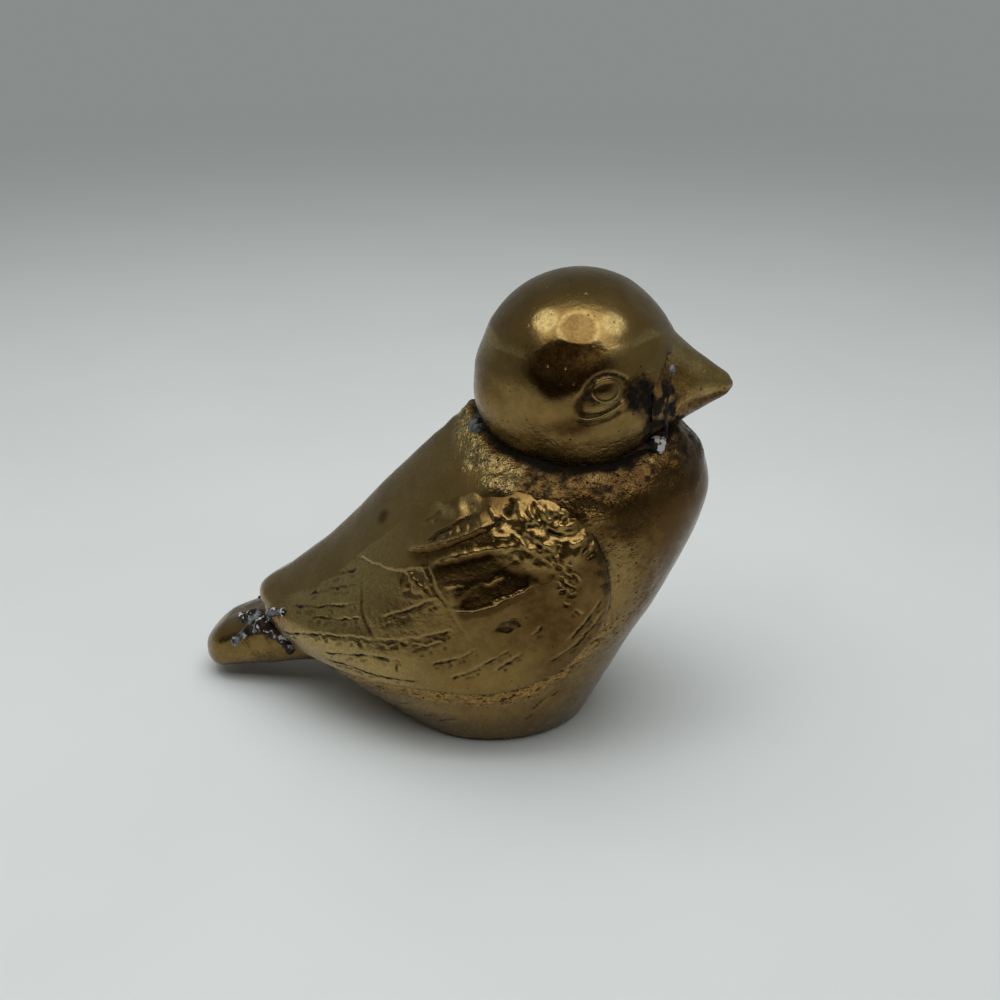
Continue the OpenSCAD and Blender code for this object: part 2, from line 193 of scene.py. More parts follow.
def rounded(path, steps=5):
    """The same path as a smooth curve with a few points between each two."""
    path = np.asarray(path, float)
    t = np.linspace(0, len(path) - 1, (len(path) - 1) * steps + 1)
    places = np.arange(len(path))
    return np.stack([along(np.stack([places, axis], -1), t) for axis in path.T], -1)


# Back and front of the body against height, its half width, and where it is widest from back to front
BACK_LINE = [
    (0, -FOOT_BACK),
    (0.21 * RUMP_Z, -mix(FOOT_BACK, RUMP_REACH, 0.23)),
    (0.47 * RUMP_Z, -mix(FOOT_BACK, RUMP_REACH, 0.62)),
    (0.74 * RUMP_Z, -mix(FOOT_BACK, RUMP_REACH, 0.9)),
    (RUMP_Z, -RUMP_REACH),
    (mix(RUMP_Z, NAPE_Z, 0.12), -mix(RUMP_REACH, NAPE_REACH, 0.145)),
    (mix(RUMP_Z, NAPE_Z, 0.3), -mix(RUMP_REACH, NAPE_REACH, 0.35)),
    (mix(RUMP_Z, NAPE_Z, 0.66), -mix(RUMP_REACH, NAPE_REACH, 0.675)),
    (NAPE_Z, -NAPE_REACH),
]
FRONT_LINE = [
    (0, FOOT_FRONT),
    (0.3 * BREAST_Z, mix(FOOT_FRONT, BREAST_REACH, 0.32)),
    (0.65 * BREAST_Z, mix(FOOT_FRONT, BREAST_REACH, 0.72)),
    (BREAST_Z, BREAST_REACH),
    (mix(BREAST_Z, NAPE_Z, 0.54), mix(BREAST_REACH, THROAT_REACH, 0.28)),
    (NAPE_Z, THROAT_REACH),
]
WIDTH_LINE = [
    (0, FOOT_W / 2),
    (0.43 * FLANK_Z, mix(FOOT_W, BODY_W, 0.75) / 2),
    (FLANK_Z, BODY_W / 2),
    (mix(FLANK_Z, BREAST_Z, 0.6), mix(BODY_W, SHOULDER_W, 0.32) / 2),
    (BREAST_Z, SHOULDER_W / 2),
    (mix(BREAST_Z, NAPE_Z, 0.32), mix(SHOULDER_W, NAPE_W, 0.16) / 2),
    (mix(BREAST_Z, NAPE_Z, 0.54), mix(SHOULDER_W, NAPE_W, 0.42) / 2),
    (NAPE_Z, NAPE_W / 2),
]
WAIST_LINE = [
    (0, 0.51),
    (0.2 * NAPE_Z, 0.57),
    (0.4 * NAPE_Z, 0.545),
    (0.65 * NAPE_Z, 0.435),
    (NAPE_Z, 0.45),
]


def outline(turn, front, back, widest, half):
    """Plan outline of the body at a turn from straight ahead: pointed at the back, full at the front."""
    c, s = cos(turn), sin(turn)
    ahead = c >= 0
    power = 2 / np.where(ahead, FRONT_POWER, BACK_POWER)
    reach = np.where(ahead, front - widest, widest - back)
    x = widest + reach * np.sign(c) * np.abs(c) ** power
    return x + FOOT_X, half * np.sign(s) * np.abs(s) ** power


def widest_x(z):
    return mix(along(BACK_LINE, z), along(FRONT_LINE, z), along(WAIST_LINE, z))


def skin(z, turn, grow=0):
    """Point of the body's skin at a height and a turn, grown outwards."""
    z, turn, grow = np.broadcast_arrays(np.asarray(z, float), turn, grow)
    front = along(FRONT_LINE, z) + grow
    back = along(BACK_LINE, z) - grow
    x, y = outline(turn, front, back, widest_x(z), along(WIDTH_LINE, z) + grow)
    return np.stack([x, y, z], -1)


def unit(vectors):
    return vectors / np.linalg.norm(vectors, axis=-1, keepdims=True)


def skin_normal(z, turn):
    around = skin(z, turn + 1) - skin(z, turn - 1)
    up = skin(z + 0.5, turn) - skin(z - 0.5, turn)
    return unit(np.cross(around, up))


def grid_faces(rows, columns, wrap=False, loop=False, start=0):
    """Quads of a grid of points, seen from the side where columns run to the right of rows.

    With wrap the columns run right round, and with loop the rows do.
    """
    i = np.arange(rows if loop else rows - 1)[:, None]
    j = np.arange(columns if wrap else columns - 1)[None, :]
    low, high = start + i * columns, start + (i + 1) % rows * columns
    right = (j + 1) % columns
    corners = np.broadcast_arrays(low + j, low + right, high + right, high + j)
    return np.stack(corners, -1).reshape(-1, 4).tolist()


def fan_faces(middle, start, count):
    """Triangles from a middle point to a ring of points that begins at start."""
    return [[middle, start + j, start + (j + 1) % count] for j in range(count)]


def flipped(faces):
    """The same faces seen from the other side."""
    return [face[::-1] for face in faces]


def mirrored(points, faces):
    """The same mesh on the bird's other side."""
    return points * (1, -1, 1), flipped(faces)


def ring_turns(count):
    """Turns of a ring of points, from straight ahead to 180 and on from -180."""
    turn = np.arange(count) * 360 / count
    return np.where(turn > 180, turn - 360, turn)


def grid_normals(grid):
    """Normals of a grid of points whose columns run right round."""
    around = np.roll(grid, -1, 1) - np.roll(grid, 1, 1)
    up = np.gradient(grid, axis=0)
    return unit(np.cross(around, up) + 1e-9)


def finish_of(shape, dirt=0.0, grit=0.0, wear=0.0, tarnish=0.0):
    """What the materials read at each point, from 0 to 1: dirt, casting grit, worn metal and tarnish. The
    dirt and tarnish also carry painted shade in creases and hollows, and the worn metal carries some
    painted highlights and a painted reflection.
    """
    channels = [np.broadcast_to(np.clip(c, 0, 1), shape) for c in (dirt, grit, wear, tarnish)]
    return np.stack(channels, -1).astype(np.float32)


def add_piece(name, node, points, faces, finish, material):
    """Makes a mesh piece that stands for a CAD node."""
    mesh = bpy.data.meshes.new(name)
    mesh.from_pydata((points.reshape(-1, 3) * MM).tolist(), [], faces)
    mesh.polygons.foreach_set("use_smooth", np.ones(len(mesh.polygons), bool))
    layer = mesh.color_attributes.new("finish", "FLOAT_COLOR", "POINT")
    layer.data.foreach_set("color", finish.ravel())
    mesh.materials.append(material)
    mesh.update()
    piece = bpy.data.objects.new(name, mesh)
    bpy.context.scene.collection.objects.link(piece)
    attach(piece, "root")
    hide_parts(node)


# Materials


def new_tree(name):
    material = bpy.data.materials.new(name)
    material.use_nodes = True
    material.node_tree.nodes.clear()
    return material, material.node_tree


def add_node(tree, kind, inputs=(), **settings):
    """Adds a node. An input is a value or the output that feeds it."""
    node = tree.nodes.new(kind)
    for key, value in settings.items():
        setattr(node, key, value)
    for key, value in dict(inputs).items():
        if isinstance(value, bpy.types.NodeSocket):
            tree.links.new(value, node.inputs[key])
        else:
            node.inputs[key].default_value = value
    return node


def calc(tree, operation, a, b=0.0, c=0.0, clamp=False):
    inputs = {0: a, 1: b, 2: c}
    return add_node(tree, "ShaderNodeMath", inputs, operation=operation, use_clamp=clamp).outputs[0]


def ramp(tree, value, low, high, start=0.0, end=1.0):
    """Maps low..high to start..end with a soft step."""
    inputs = {"Value": value, "From Min": low, "From Max": high, "To Min": start, "To Max": end}
    return add_node(tree, "ShaderNodeMapRange", inputs, interpolation_type="SMOOTHSTEP").outputs[0]


def blend_colour(tree, factor, a, b):
    return add_node(tree, "ShaderNodeMix", {0: factor, 6: a, 7: b}, data_type="RGBA").outputs[2]


def cloud(tree, coords, size, detail=4.0, roughness=0.55):
    """Noise whose blotches are about size millimetres across."""
    inputs = {"Vector": coords, "Scale": 1 / (size * MM), "Detail": detail, "Roughness": roughness}
    return add_node(tree, "ShaderNodeTexNoise", inputs).outputs[0]


def dots(tree, coords, spacing, radius, share):
    """1 in small round dots, spacing apart on average, in that share of the cells."""
    cells = add_node(tree, "ShaderNodeTexVoronoi", {"Vector": coords, "Scale": 1 / (spacing * MM)})
    dot = ramp(tree, cells.outputs["Distance"], radius / spacing, 0.4 * radius / spacing)
    chosen = add_node(tree, "ShaderNodeSeparateColor", {0: cells.outputs["Color"]}).outputs[0]
    return calc(tree, "MULTIPLY", dot, calc(tree, "LESS_THAN", chosen, share))


def finish_channels(tree):
    attribute = add_node(tree, "ShaderNodeAttribute", attribute_name="finish")
    split = add_node(tree, "ShaderNodeSeparateColor", {0: attribute.outputs["Color"]})
    return split.outputs[0], split.outputs[1], split.outputs[2], attribute.outputs["Alpha"]


def speckled(tree, coords, amount):
    """Turns an amount from 0 to 1 into ragged specks that cover about that share."""
    crumbs = cloud(tree, coords, 0.6, 5, 0.7)
    level = calc(tree, "ADD", amount, calc(tree, "MULTIPLY_ADD", crumbs, 1.2, -0.6))
    return ramp(tree, level, 0.15, 0.85)


BRASS = (0.25, 0.158, 0.049, 1)
# Tarnish, also used as painted shade on the beak's underside, in the neck crease, round the eye and on the
# head's brow strip and facet
TARNISH = (0.085, 0.043, 0.01, 1)
# Worn gold, also used as painted highlight along the feather lines and the eye's lower rim, and as painted
# reflection on the wing's rear
GOLD = (0.5, 0.38, 0.15, 1)
ORANGE = (0.52, 0.28, 0.065, 1)
# Dark soil, also used as painted shade in creases, under edges and round the eye
DIRT_AND_SHADE = (0.012, 0.009, 0.005, 1)


def brass_colour(tree, coords, dirt, wear, tarnish, holes):
    """Colour of the brass and how much soil and painted shade lies on it."""
    patches = ramp(tree, cloud(tree, coords, 14, 5, 0.6), 0.38, 0.66)
    mottle = ramp(tree, cloud(tree, coords, 2.2, 5, 0.65), 0.3, 0.75)
    brown = calc(tree, "MULTIPLY_ADD", patches, 0.3, calc(tree, "MULTIPLY", mottle, 0.3))
    brown = calc(tree, "ADD", brown, tarnish, clamp=True)
    colour = blend_colour(tree, brown, BRASS, TARNISH)
    specks = ramp(tree, cloud(tree, coords, 0.5, 3, 0.6), 0.3, 0.7, 0.35, 1.0)
    worn = blend_colour(tree, tarnish, GOLD, ORANGE)
    colour = blend_colour(tree, calc(tree, "MULTIPLY", wear, specks), colour, worn)
    soil = speckled(tree, coords, dirt)
    soil = calc(tree, "MAXIMUM", soil, calc(tree, "MULTIPLY", holes, 0.95))
    return blend_colour(tree, soil, colour, DIRT_AND_SHADE), soil, mottle


def brass_material():
    material, tree = new_tree("aged_brass")
    coords = add_node(tree, "ShaderNodeTexCoord").outputs["Object"]
    dirt, grit, wear, tarnish = finish_channels(tree)
    pitted = calc(tree, "MULTIPLY_ADD", grit, 0.8, 0.3, clamp=True)
    holes = calc(tree, "MULTIPLY", pitted, dots(tree, coords, 1.5, 0.24, 0.35))
    crowd = calc(tree, "MULTIPLY_ADD", grit, 1.0, -0.06)
    holes = calc(tree, "MAXIMUM", holes, dots(tree, coords, 1.0, 0.28, crowd))
    colour, soil, mottle = brass_colour(tree, coords, dirt, wear, tarnish, holes)

    rough = calc(tree, "MULTIPLY_ADD", mottle, 0.1, 0.24)
    rough = calc(tree, "MULTIPLY_ADD", grit, -0.14, rough)
    rough = calc(tree, "MULTIPLY_ADD", soil, 0.35, rough, clamp=True)
    metal = ramp(tree, soil, 0.35, 0.95, 1.0, 0.1)

    grain = calc(tree, "MULTIPLY_ADD", grit, 3.6, 0.08)
    grain = calc(tree, "MULTIPLY", cloud(tree, coords, 1.0, 3, 0.6), grain)
    relief = calc(tree, "MULTIPLY_ADD", holes, -0.5, grain)
    bump = add_node(tree, "ShaderNodeBump", {"Strength": 0.9, "Distance": 0.4 * MM, "Height": relief})
    gloss = ramp(tree, soil, 0.3, 0.9, 0.5, 0.06)
    film = ramp(tree, soil, 0.1, 0.6, 0.1, 0.0)

    shader = add_node(tree, "ShaderNodeBsdfPrincipled", {
        "Base Color": colour, "Metallic": metal, "Roughness": rough, "Normal": bump.outputs[0],
        "Specular IOR Level": gloss, "Coat Weight": film, "Coat Roughness": 0.3})
    add_node(tree, "ShaderNodeOutputMaterial", {"Surface": shader.outputs[0]})
    return material


SOLDER = (0.27, 0.3, 0.31, 1)
# Black crust of the solder, also used as painted shade on the neck solder
SOOT = (0.009, 0.006, 0.004, 1)
RUST = (0.045, 0.022, 0.007, 1)
FLAKE = (0.6, 0.6, 0.58, 1)


def solder_material():
    material, tree = new_tree("solder")
    coords = add_node(tree, "ShaderNodeTexCoord").outputs["Object"]
    dirt, _, wear, _ = finish_channels(tree)
    crumbs = cloud(tree, coords, 0.8, 5, 0.65)
    soil = speckled(tree, coords, dirt)
    rusty = ramp(tree, cloud(tree, coords, 1.8, 4, 0.6), 0.45, 0.62)
    crust = blend_colour(tree, rusty, SOOT, RUST)
    colour = blend_colour(tree, soil, SOLDER, crust)
    flakes = ramp(tree, calc(tree, "MULTIPLY", wear, cloud(tree, coords, 1.1, 4, 0.6)), 0.4, 0.46)
    colour = blend_colour(tree, flakes, colour, FLAKE)
    rough = ramp(tree, crumbs, 0.2, 0.8, 0.3, 0.6)
    metal = calc(tree, "SUBTRACT", 1.0, calc(tree, "MAXIMUM", soil, flakes), clamp=True)
    bump = add_node(tree, "ShaderNodeBump", {"Strength": 0.6, "Distance": 0.4 * MM, "Height": crumbs})
    gloss = ramp(tree, soil, 0.3, 0.9, 0.5, 0.15)
    shader = add_node(tree, "ShaderNodeBsdfPrincipled", {
        "Base Color": colour, "Metallic": metal, "Roughness": rough, "Normal": bump.outputs[0],
        "Specular IOR Level": gloss})
    add_node(tree, "ShaderNodeOutputMaterial", {"Surface": shader.outputs[0]})
    return material


BRASS_LOOK = brass_material()
SOLDER_LOOK = solder_material()


# Wing outlines and carving in the side view: x along the bird, z up
# Lower and upper edge from the shoulder to the tip, as shares of the wing's length and height
WING_LOW_LINE = [(0, 0.03), (0.12, 0.12), (0.3, 0.27), (0.5, 0.47), (0.7, 0.68), (0.85, 0.83), (1, 0.94)]
WING_LOW_SHARE = [
    (0, 0.324), (0.12, 0.127), (0.3, 0.01), (0.5, 0), (0.7, -0.03), (0.85, -0.035), (1, -0.03)]
WING_TOP_LINE = [(0, 0.06), (0.12, 0.15), (0.3, 0.32), (0.5, 0.52), (0.7, 0.73), (0.85, 0.87), (1, 1)]
WING_TOP_SHARE = [(0, 0.86), (0.12, 0.98), (0.3, 1), (0.5, 0.8), (0.7, 0.4), (0.85, 0.17), (1, 0)]


def wing_place(u, v):
    """Side view of a wing: u from the shoulder to the tip, v from the lower to the upper edge."""
    bow = WING_BOW * (1 - u) ** WING_BOW_POWER * 4 * v * (1 - v)
    low_x = mix(WING_FRONT, WING_TIP_X, along(WING_LOW_LINE, u))
    low_z = mix(WING_LOW_Z, WING_TOP_Z, along(WING_LOW_SHARE, u))
    top_x = mix(WING_FRONT, WING_TIP_X, along(WING_TOP_LINE, u))
    top_z = mix(WING_TIP_Z, WING_TOP_Z, along(WING_TOP_SHARE, u))
    return np.stack([mix(low_x, top_x, v) + bow + FOOT_X, mix(low_z, top_z, v)], -1)


EDGE = np.linspace(0, 1, 80)
LOW_EDGE = wing_place(EDGE, 0 * EDGE)
TOP_EDGE = wing_place(EDGE, 0 * EDGE + 1)
LEAD_EDGE = wing_place(0 * EDGE, EDGE)
TIP_EDGE = wing_place(0 * EDGE + 1, EDGE)


def flank_turn(x, z):
    """Turn of the point of the left flank that has this place in the side view."""
    widest = widest_x(z) + FOOT_X
    ahead = x > widest
    front = along(FRONT_LINE, z) + FOOT_X
    back = along(BACK_LINE, z) + FOOT_X
    share = np.where(ahead, (x - widest) / (front - widest), (widest - x) / (widest - back))
    power = np.where(ahead, FRONT_POWER, BACK_POWER) / 2
    turn = np.degrees(np.arccos(np.clip(share, 0, WING_STOP) ** power))
    return np.where(ahead, turn, 180 - turn)


# Feather rows that lie like shingles: rise at the lower edge, height of the row, tarnish of its face,
# and its lower edge from back to front
SHINGLES = [
    (0.6, 2.6, 0.0, [(-4, 38.6), (-0.5, 39.6), (3, 41), (8, 43.8), (12.5, 46.4)]),
    (0.38, 3.4, 0.6, [(1.4, 37.6), (7.2, 40.4), (12, 42.1), (16.4, 43.2)]),
    (0.65, 5.0, 0.7, [(5.2, 31), (11.3, 32.5), (15, 34.6), (20, 37.4)]),
]
# Edges of feather rows: height of the step, path with the higher row on its left
FEATHER_STEPS = [
    (0.22, [(-18.3, 32.5), (-14.3, 33.7), (-10.2, 34.2), (-6.6, 34.7), (-3.2, 35.7), (1.2, 37.5)]),
    (0.35, [(1.3, 37.7), (3, 34.2), (5.1, 31.7)]),
    (0.15, [(5.1, 31.7), (7, 28.6), (8.7, 26.1), (10, 25.2)]),
    (0.08, [(-9.3, 22.1), (-11.1, 24.5), (-12.2, 27.2), (-12.7, 30.5), (-13.6, 33)]),
]
# Lines between the feathers: depth, path from back to front
FEATHER_LINES = [
    (0.25, [(-29, 23.6), (-22.4, 27.1), (-17.9, 29.7), (-13.4, 32.3)]),
    (0.22, [(-26, 23.6), (-21, 26), (-17, 27.9), (-13, 29.9)]),
    (0.25, [(-29.5, 20.8), (-21.2, 23.5), (-16.2, 25.5), (-12.2, 27.2)]),
    (0.2, [(-24.5, 21.1), (-18.8, 22.6), (-15.3, 23.6), (-11.5, 24.8)]),
    (0.4, [(-32, 15.6), (-29.5, 16.3), (-23.8, 18.7), (-17.1, 20.5), (-9.3, 22.1)]),
    (0.3, [(-21, 16.3), (-15.8, 17.8), (-9.6, 19.3), (-5.3, 19.7)]),
    (0.22, [(-21, 15), (-14.2, 15.7), (-9.1, 15.8), (-0.1, 16.5)]),
    (0.2, [(-4.6, 17.4), (-5.5, 20)]),
    (0.35, [(-8.5, 26), (-2.6, 28.9), (0.5, 31), (3.2, 32.6)]),
    (0.35, [(-9.3, 22.1), (-4.1, 23.4), (0.6, 25.1), (6, 27.6)]),
    (0.2, [(-2.5, 22.1), (1.9, 23.9), (4.6, 25.3)]),
    (0.3, [(1, 20), (5.7, 21.9), (10, 24.5)]),
    (0.2, [(4.6, 17.8), (7.5, 19.2), (10.5, 20.6)]),
    (0.22, [(8.5, 20), (11.5, 21.8), (15.5, 24.6)]),
    (0.15, [(12, 19.4), (14.5, 21.4), (17.5, 24.2)]),
    (0.5, [(-0.5, 40), (2.9, 42.7), (5.9, 44.8), (9.2, 47.1)]),
    (0.3, [(-1.3, 43), (0.5, 44.4), (2.2, 45.7)]),
    (0.18, [(25.5, 31.8), (26.8, 30.6)]),
    (0.2, [(18.8, 27.2), (20, 28.2), (20.6, 29.2)]),
    (0.12, [(20.5, 21), (25, 24.2), (28.2, 27.6), (31, 31.5)]),
    (0.1, [(24.4, 25.6), (27.4, 29), (30, 33.5)]),
]
# The crumpled shoulder: its middle, half length and half height
SHOULDER_AT = (20, 45)
SHOULDER_HALF = (9.5, 6.5)
# The crumbled patch below it
CRUMBLE_AT = np.array([23.2, 37.4])
CRUMBLE_HALF = np.array([3.2, 5.4])
CRUMBLE_CUTS = 15
CRUMBLE_SEED = 5
CRUMBLE_TILT = 8
# Cuts in it: depth, half width, path
SHOULDER_CUTS = [
    (0.8, 0.45, [(14.7, 50.2), (14.7, 48.8), (13.9, 47.4)]),
    (0.8, 0.35, [(18.4, 50.1), (18.7, 48.8), (19.9, 47.3)]),
    (0.6, 0.3, [(23.1, 49.5), (22.5, 48.4), (22, 47.5)]),
    (0.7, 0.3, [(25.5, 48.7), (24.6, 48), (23.5, 47.1)]),
    (0.8, 0.4, [(26.6, 47.5), (26.4, 46.1), (25.1, 45.2), (22.7, 45.3), (20.3, 46.1)]),
    (0.6, 0.3, [(28.3, 44.4), (27.3, 42.9), (26.7, 41.9)]),
    (0.6, 0.3, [(29.4, 43.1), (28.3, 42), (27.4, 41.1)]),
    (0.7, 0.5, [(17.5, 46.4), (19.6, 46.2)]),
    (0.6, 0.4, [(16.9, 45.3), (18.4, 44), (20.2, 42.5)]),
    (0.6, 0.35, [(23, 43.7), (22.6, 41.8)]),
    (0.5, 0.35, [(14, 47), (12.3, 45.3)]),
]
# Sharp ridges in it and on the rows behind it: rise, half width, path
SHOULDER_RIDGES = [
    (0.4, 0.3, [(10.9, 48.3), (12.5, 46.9)]),
    (0.5, 0.3, [(15.7, 50.3), (16.3, 48.8), (16.9, 47.3)]),
    (0.35, 0.25, [(17.6, 50), (17.8, 48.6), (18.8, 47.3)]),
    (0.4, 0.25, [(20.2, 49.8), (20.5, 48), (21.4, 47.6), (21.6, 49.6)]),
    (0.35, 0.25, [(23.3, 48.4), (24, 49.4)]),
    (0.55, 0.4, [(22.6, 46.7), (24.7, 47), (25.8, 47.7)]),
    (0.5, 0.4, [(27.4, 45.6), (26.5, 44.5), (24.5, 43.5)]),
    (0.4, 0.25, [(28.8, 44), (27.8, 42.5)]),
    (0.5, 0.4, [(14.9, 45.4), (16.4, 44.3), (18.9, 42.3)]),
    (0.45, 0.4, [(20.1, 43.5), (21.8, 44)]),
    (0.3, 0.3, [(12, 44.3), (14.8, 44.6)]),
    (0.3, 0.25, [(15.7, 42.4), (16.8, 40.8)]),
    (0.25, 0.25, [(10.6, 36.6), (12.3, 37.3), (14.1, 38.5)]),
    (0.3, 0.25, [(12.1, 33.4), (15.3, 35), (18.3, 36.2)]),
    (0.2, 0.25, [(4, 35), (7.7, 36.2)]),
]
# Lumpy worn place above the first row
LUMPS_AT = (4, 46.5)
LUMPS_HALF = (7, 3.2)
LUMPS_TILT = 36
# Brown stain over the second and third row
COVERT_AT = (15.5, 38)
COVERT_HALF = (8.5, 3.6)
COVERT_TILT = 22
# Sunk lens below the ridges
LENS_AT = (14.8, 29.2)
LENS_HALF = (2.5, 1.1)
LENS_TILT = 25
# Rough patch behind the second row
PATCH_AT = (-1.3, 34.2)
PATCH_HALF = (3.8, 2.3)
PATCH_TILT = 20


def turned(place, at, tilt):
    """Places measured from a point, along a tilted axis and across it."""
    dx, dz = place[..., 0] - at[0], place[..., 1] - at[1]
    return dx * cos(tilt) + dz * sin(tilt), dz * cos(tilt) - dx * sin(tilt)


def oval(place, at, half, tilt=0):
    """0 in the middle of a tilted oval and 1 on its edge."""
    a, b = turned(place, at, tilt)
    return np.hypot(a / half[0], b / half[1])


def shingle(place, rise, row, brown, path, uneven):
    """A row that rises to its lower edge, and the dirt, wear and tarnish that go with it; the dirt and
    tarnish just below that edge are painted shade under the overhang, with some grime.
    """
    distance, share, side = path_distance(place, rounded(path))
    ends = smooth(share, 0.0, 0.14) * smooth(share, 1.0, 0.86)
    above = distance * side
    slope = np.clip(1 - above / row, 0, 1)
    height = rise * ends * np.where(above > 0, slope, smooth(above, -0.55, 0))
    height += 0.25 * ends * hump(above - 0.25, 0.22) * uneven
    # Dirt here and tarnish below the edge: painted shade under the overhang, with some grime
    dirt = 0.3 * ends * hump(above + 0.55, 0.35) * uneven
    wear = ends * hump(above - 0.25, 0.25) * uneven
    face = brown * smooth(above, row + 1, 0.6 * row)
    tarnish = ends * np.where(above > 0, face, smooth(above, -2.4, -0.8))
    return height, dirt, wear, tarnish * (1 - wear)


def feather_line(place, depth, path, uneven, crumbs):
    """A thin line with crumbled metal below it and a faintly raised feather above. The dark crumbled band
    below is partly painted shade, and the gold lip above the line is partly a painted highlight.
    """
    distance, share, side = path_distance(place, rounded(path))
    ends = smooth(share, -0.01, 0.18) * smooth(share, 1.01, 0.88)
    above = distance * side
    cut = ends * hump(above, 0.26) * uneven
    rough = ends * crumbs * hump(above + 0.75, 0.5)
    raised = ends * np.where(above > 0, np.exp(-above / 1.6), smooth(above, -0.35, 0))
    height = 0.35 * depth * raised - depth * cut - 0.5 * depth * rough
    # Dark crumbs below the line are partly painted shade; the gold lip above it is partly a painted
    # highlight
    return height, np.maximum(0.9 * cut, 0.5 * rough), 0.4 * ends * hump(above - 0.45, 0.25), 0


def feather_step(place, rise, path, uneven, crumbs):
    """A step down from a higher row, with a crease at its foot darkened as painted shade and grime."""
    distance, share, side = path_distance(place, rounded(path))
    ends = smooth(share, 0, 0.08) * smooth(share, 1, 0.92)
    signed = distance * side
    # The crease at the step's foot is darkened: painted shade, with grime
    crease = ends * hump(signed + 0.4, 0.3)
    height = rise * ends * smooth(signed, -0.35, 0.15) * np.exp(-np.maximum(signed, 0) / 4)
    return height - 0.5 * rise * crease * uneven, 2 * rise * crease * crumbs, 0, 0


def stroke(place, path, width):
    """1 along a path, fading at its ends and over its width."""
    distance, share, side = path_distance(place, rounded(path))
    ends = smooth(share, -0.02, 0.15) * smooth(share, 1.02, 0.85)
    return ends * hump(distance, width), ends, distance * side


def scribbles():
    """Short bent strokes at random places in the crumbled patch."""
    rng = np.random.default_rng(CRUMBLE_SEED)
    for _ in range(CRUMBLE_CUTS):
        spot = CRUMBLE_AT + rng.uniform(-0.8, 0.8, 2) * CRUMBLE_HALF
        lean = rng.uniform(-75, 15)
        reach = rng.uniform(0.5, 1.1) * np.array([cos(lean), sin(lean)])
        bend = rng.uniform(-0.4, 0.4) * np.array([-sin(lean), cos(lean)])
        yield np.array([spot - reach, spot + bend, spot + reach])


def shoulder(place, flat3):
    """The crumpled shoulder: a swell with short deep cuts and sharp ridges, and the crumbled patch."""
    inside = smooth(oval(place, SHOULDER_AT, SHOULDER_HALF), 1.1, 0.6)
    height = inside * (0.45 + 0.26 * noise(flat3, 1.8, 16) + 0.12 * noise(flat3, 0.8, 18))
    dirt = 0.1 * inside
    wear = 0.7 * inside
    crumbs = np.clip(0.85 + 0.5 * noise(flat3, 0.9, 73), 0.2, 1.2)
    patch = smooth(oval(place, CRUMBLE_AT, CRUMBLE_HALF, CRUMBLE_TILT), 1.3, 0.8)
    height = height + 0.1 * patch * noise(flat3, 1.3, 76)
    for path in scribbles():
        cut, ends, signed = stroke(place, path, 0.26)
        rim = ends * hump(signed - 0.5, 0.25)
        height = height + patch * (0.2 * rim - 0.28 * cut)
        dirt = np.maximum(dirt, 0.7 * patch * crumbs * cut)
        wear = np.maximum(wear, 0.8 * patch * rim)
    for depth, width, path in SHOULDER_CUTS:
        cut = crumbs * stroke(place, path, width)[0]
        height = height - depth * cut
        dirt = np.maximum(dirt, 0.9 * cut)
    for rise, width, path in SHOULDER_RIDGES:
        ridge = crumbs * stroke(place, path, width)[0]
        height = height + rise * ridge
        wear = np.maximum(wear, ridge)
    return height, dirt, wear


def carve(place):
    """Height of the wing carving, and its dirt, wear and tarnish, at places in the side view."""
    flat3 = np.concatenate([place, np.zeros_like(place[..., :1])], -1)
    wander = 0.12 * np.stack([noise(flat3, 2.2, 11), noise(flat3, 2.2, 12)], -1)
    wander += 0.16 * np.stack([noise(flat3, 0.9, 71), noise(flat3, 0.9, 72)], -1)
    uneven = 0.8 + 0.4 * noise(flat3, 1.3, 13)
    crumbs = smooth(noise(flat3, 0.8, 19), -0.15, 0.35)
    place = place + wander
    height, dirt, wear = shoulder(place, flat3)
    height = height + 0.1 * noise(flat3, 5, 14)
    brown = np.zeros_like(height)
    marks = [shingle(place, *row, uneven) for row in SHINGLES]
    marks += [feather_line(place, *line, uneven, crumbs) for line in FEATHER_LINES]
    marks += [feather_step(place, *step, uneven, crumbs) for step in FEATHER_STEPS]
    for rise, soil, shine, tone in marks:
        height = height + rise
        dirt = np.maximum(dirt, soil)
        wear = np.maximum(wear, shine)
        brown = np.maximum(brown, tone)
    lumps = smooth(oval(place, LUMPS_AT, LUMPS_HALF, LUMPS_TILT), 1.2, 0.5)
    height += 0.3 * lumps * noise(flat3, 2.6, 79)
    wear = np.maximum(wear, 0.7 * lumps * smooth(noise(flat3, 2.0, 80), -0.4, 0.5))
    covert = oval(place, COVERT_AT, COVERT_HALF, COVERT_TILT) + 0.2 * noise(flat3, 2, 75)
    brown = np.maximum(brown, 0.9 * smooth(covert, 1.3, 0.5))
    lens = smooth(oval(place, LENS_AT, LENS_HALF, LENS_TILT), 1.15, 0.6)
    height -= lens * (0.3 + 0.25 * noise(flat3, 0.7, 15))
    patch = crumbs * smooth(oval(place, PATCH_AT, PATCH_HALF, PATCH_TILT), 1.2, 0.6)
    height -= 0.3 * patch
    dirt = np.maximum.reduce([dirt, 0.5 * lens, 0.55 * patch])
    return height, dirt, wear, brown * (1 - wear)


WING_STEPS = 280
WING_ROWS = 140
WING_STRIDE = 5
WING_PLATE = 1.5
WING_TIP_PLATE = 0.9
WING_FADE = 0.3
WING_LIP = 1.3
WING_DIVE = -0.35
WING_BACK = 0.5
BACK_LIFT = 0.12


def wing_gaps(place):
    """Distances from the nearest free edge of a wing, and from its top."""
    free = [path_distance(place, edge)[0] for edge in (LOW_EDGE, LEAD_EDGE, TIP_EDGE)]
    return np.minimum.reduce(free), path_distance(place, TOP_EDGE)[0]


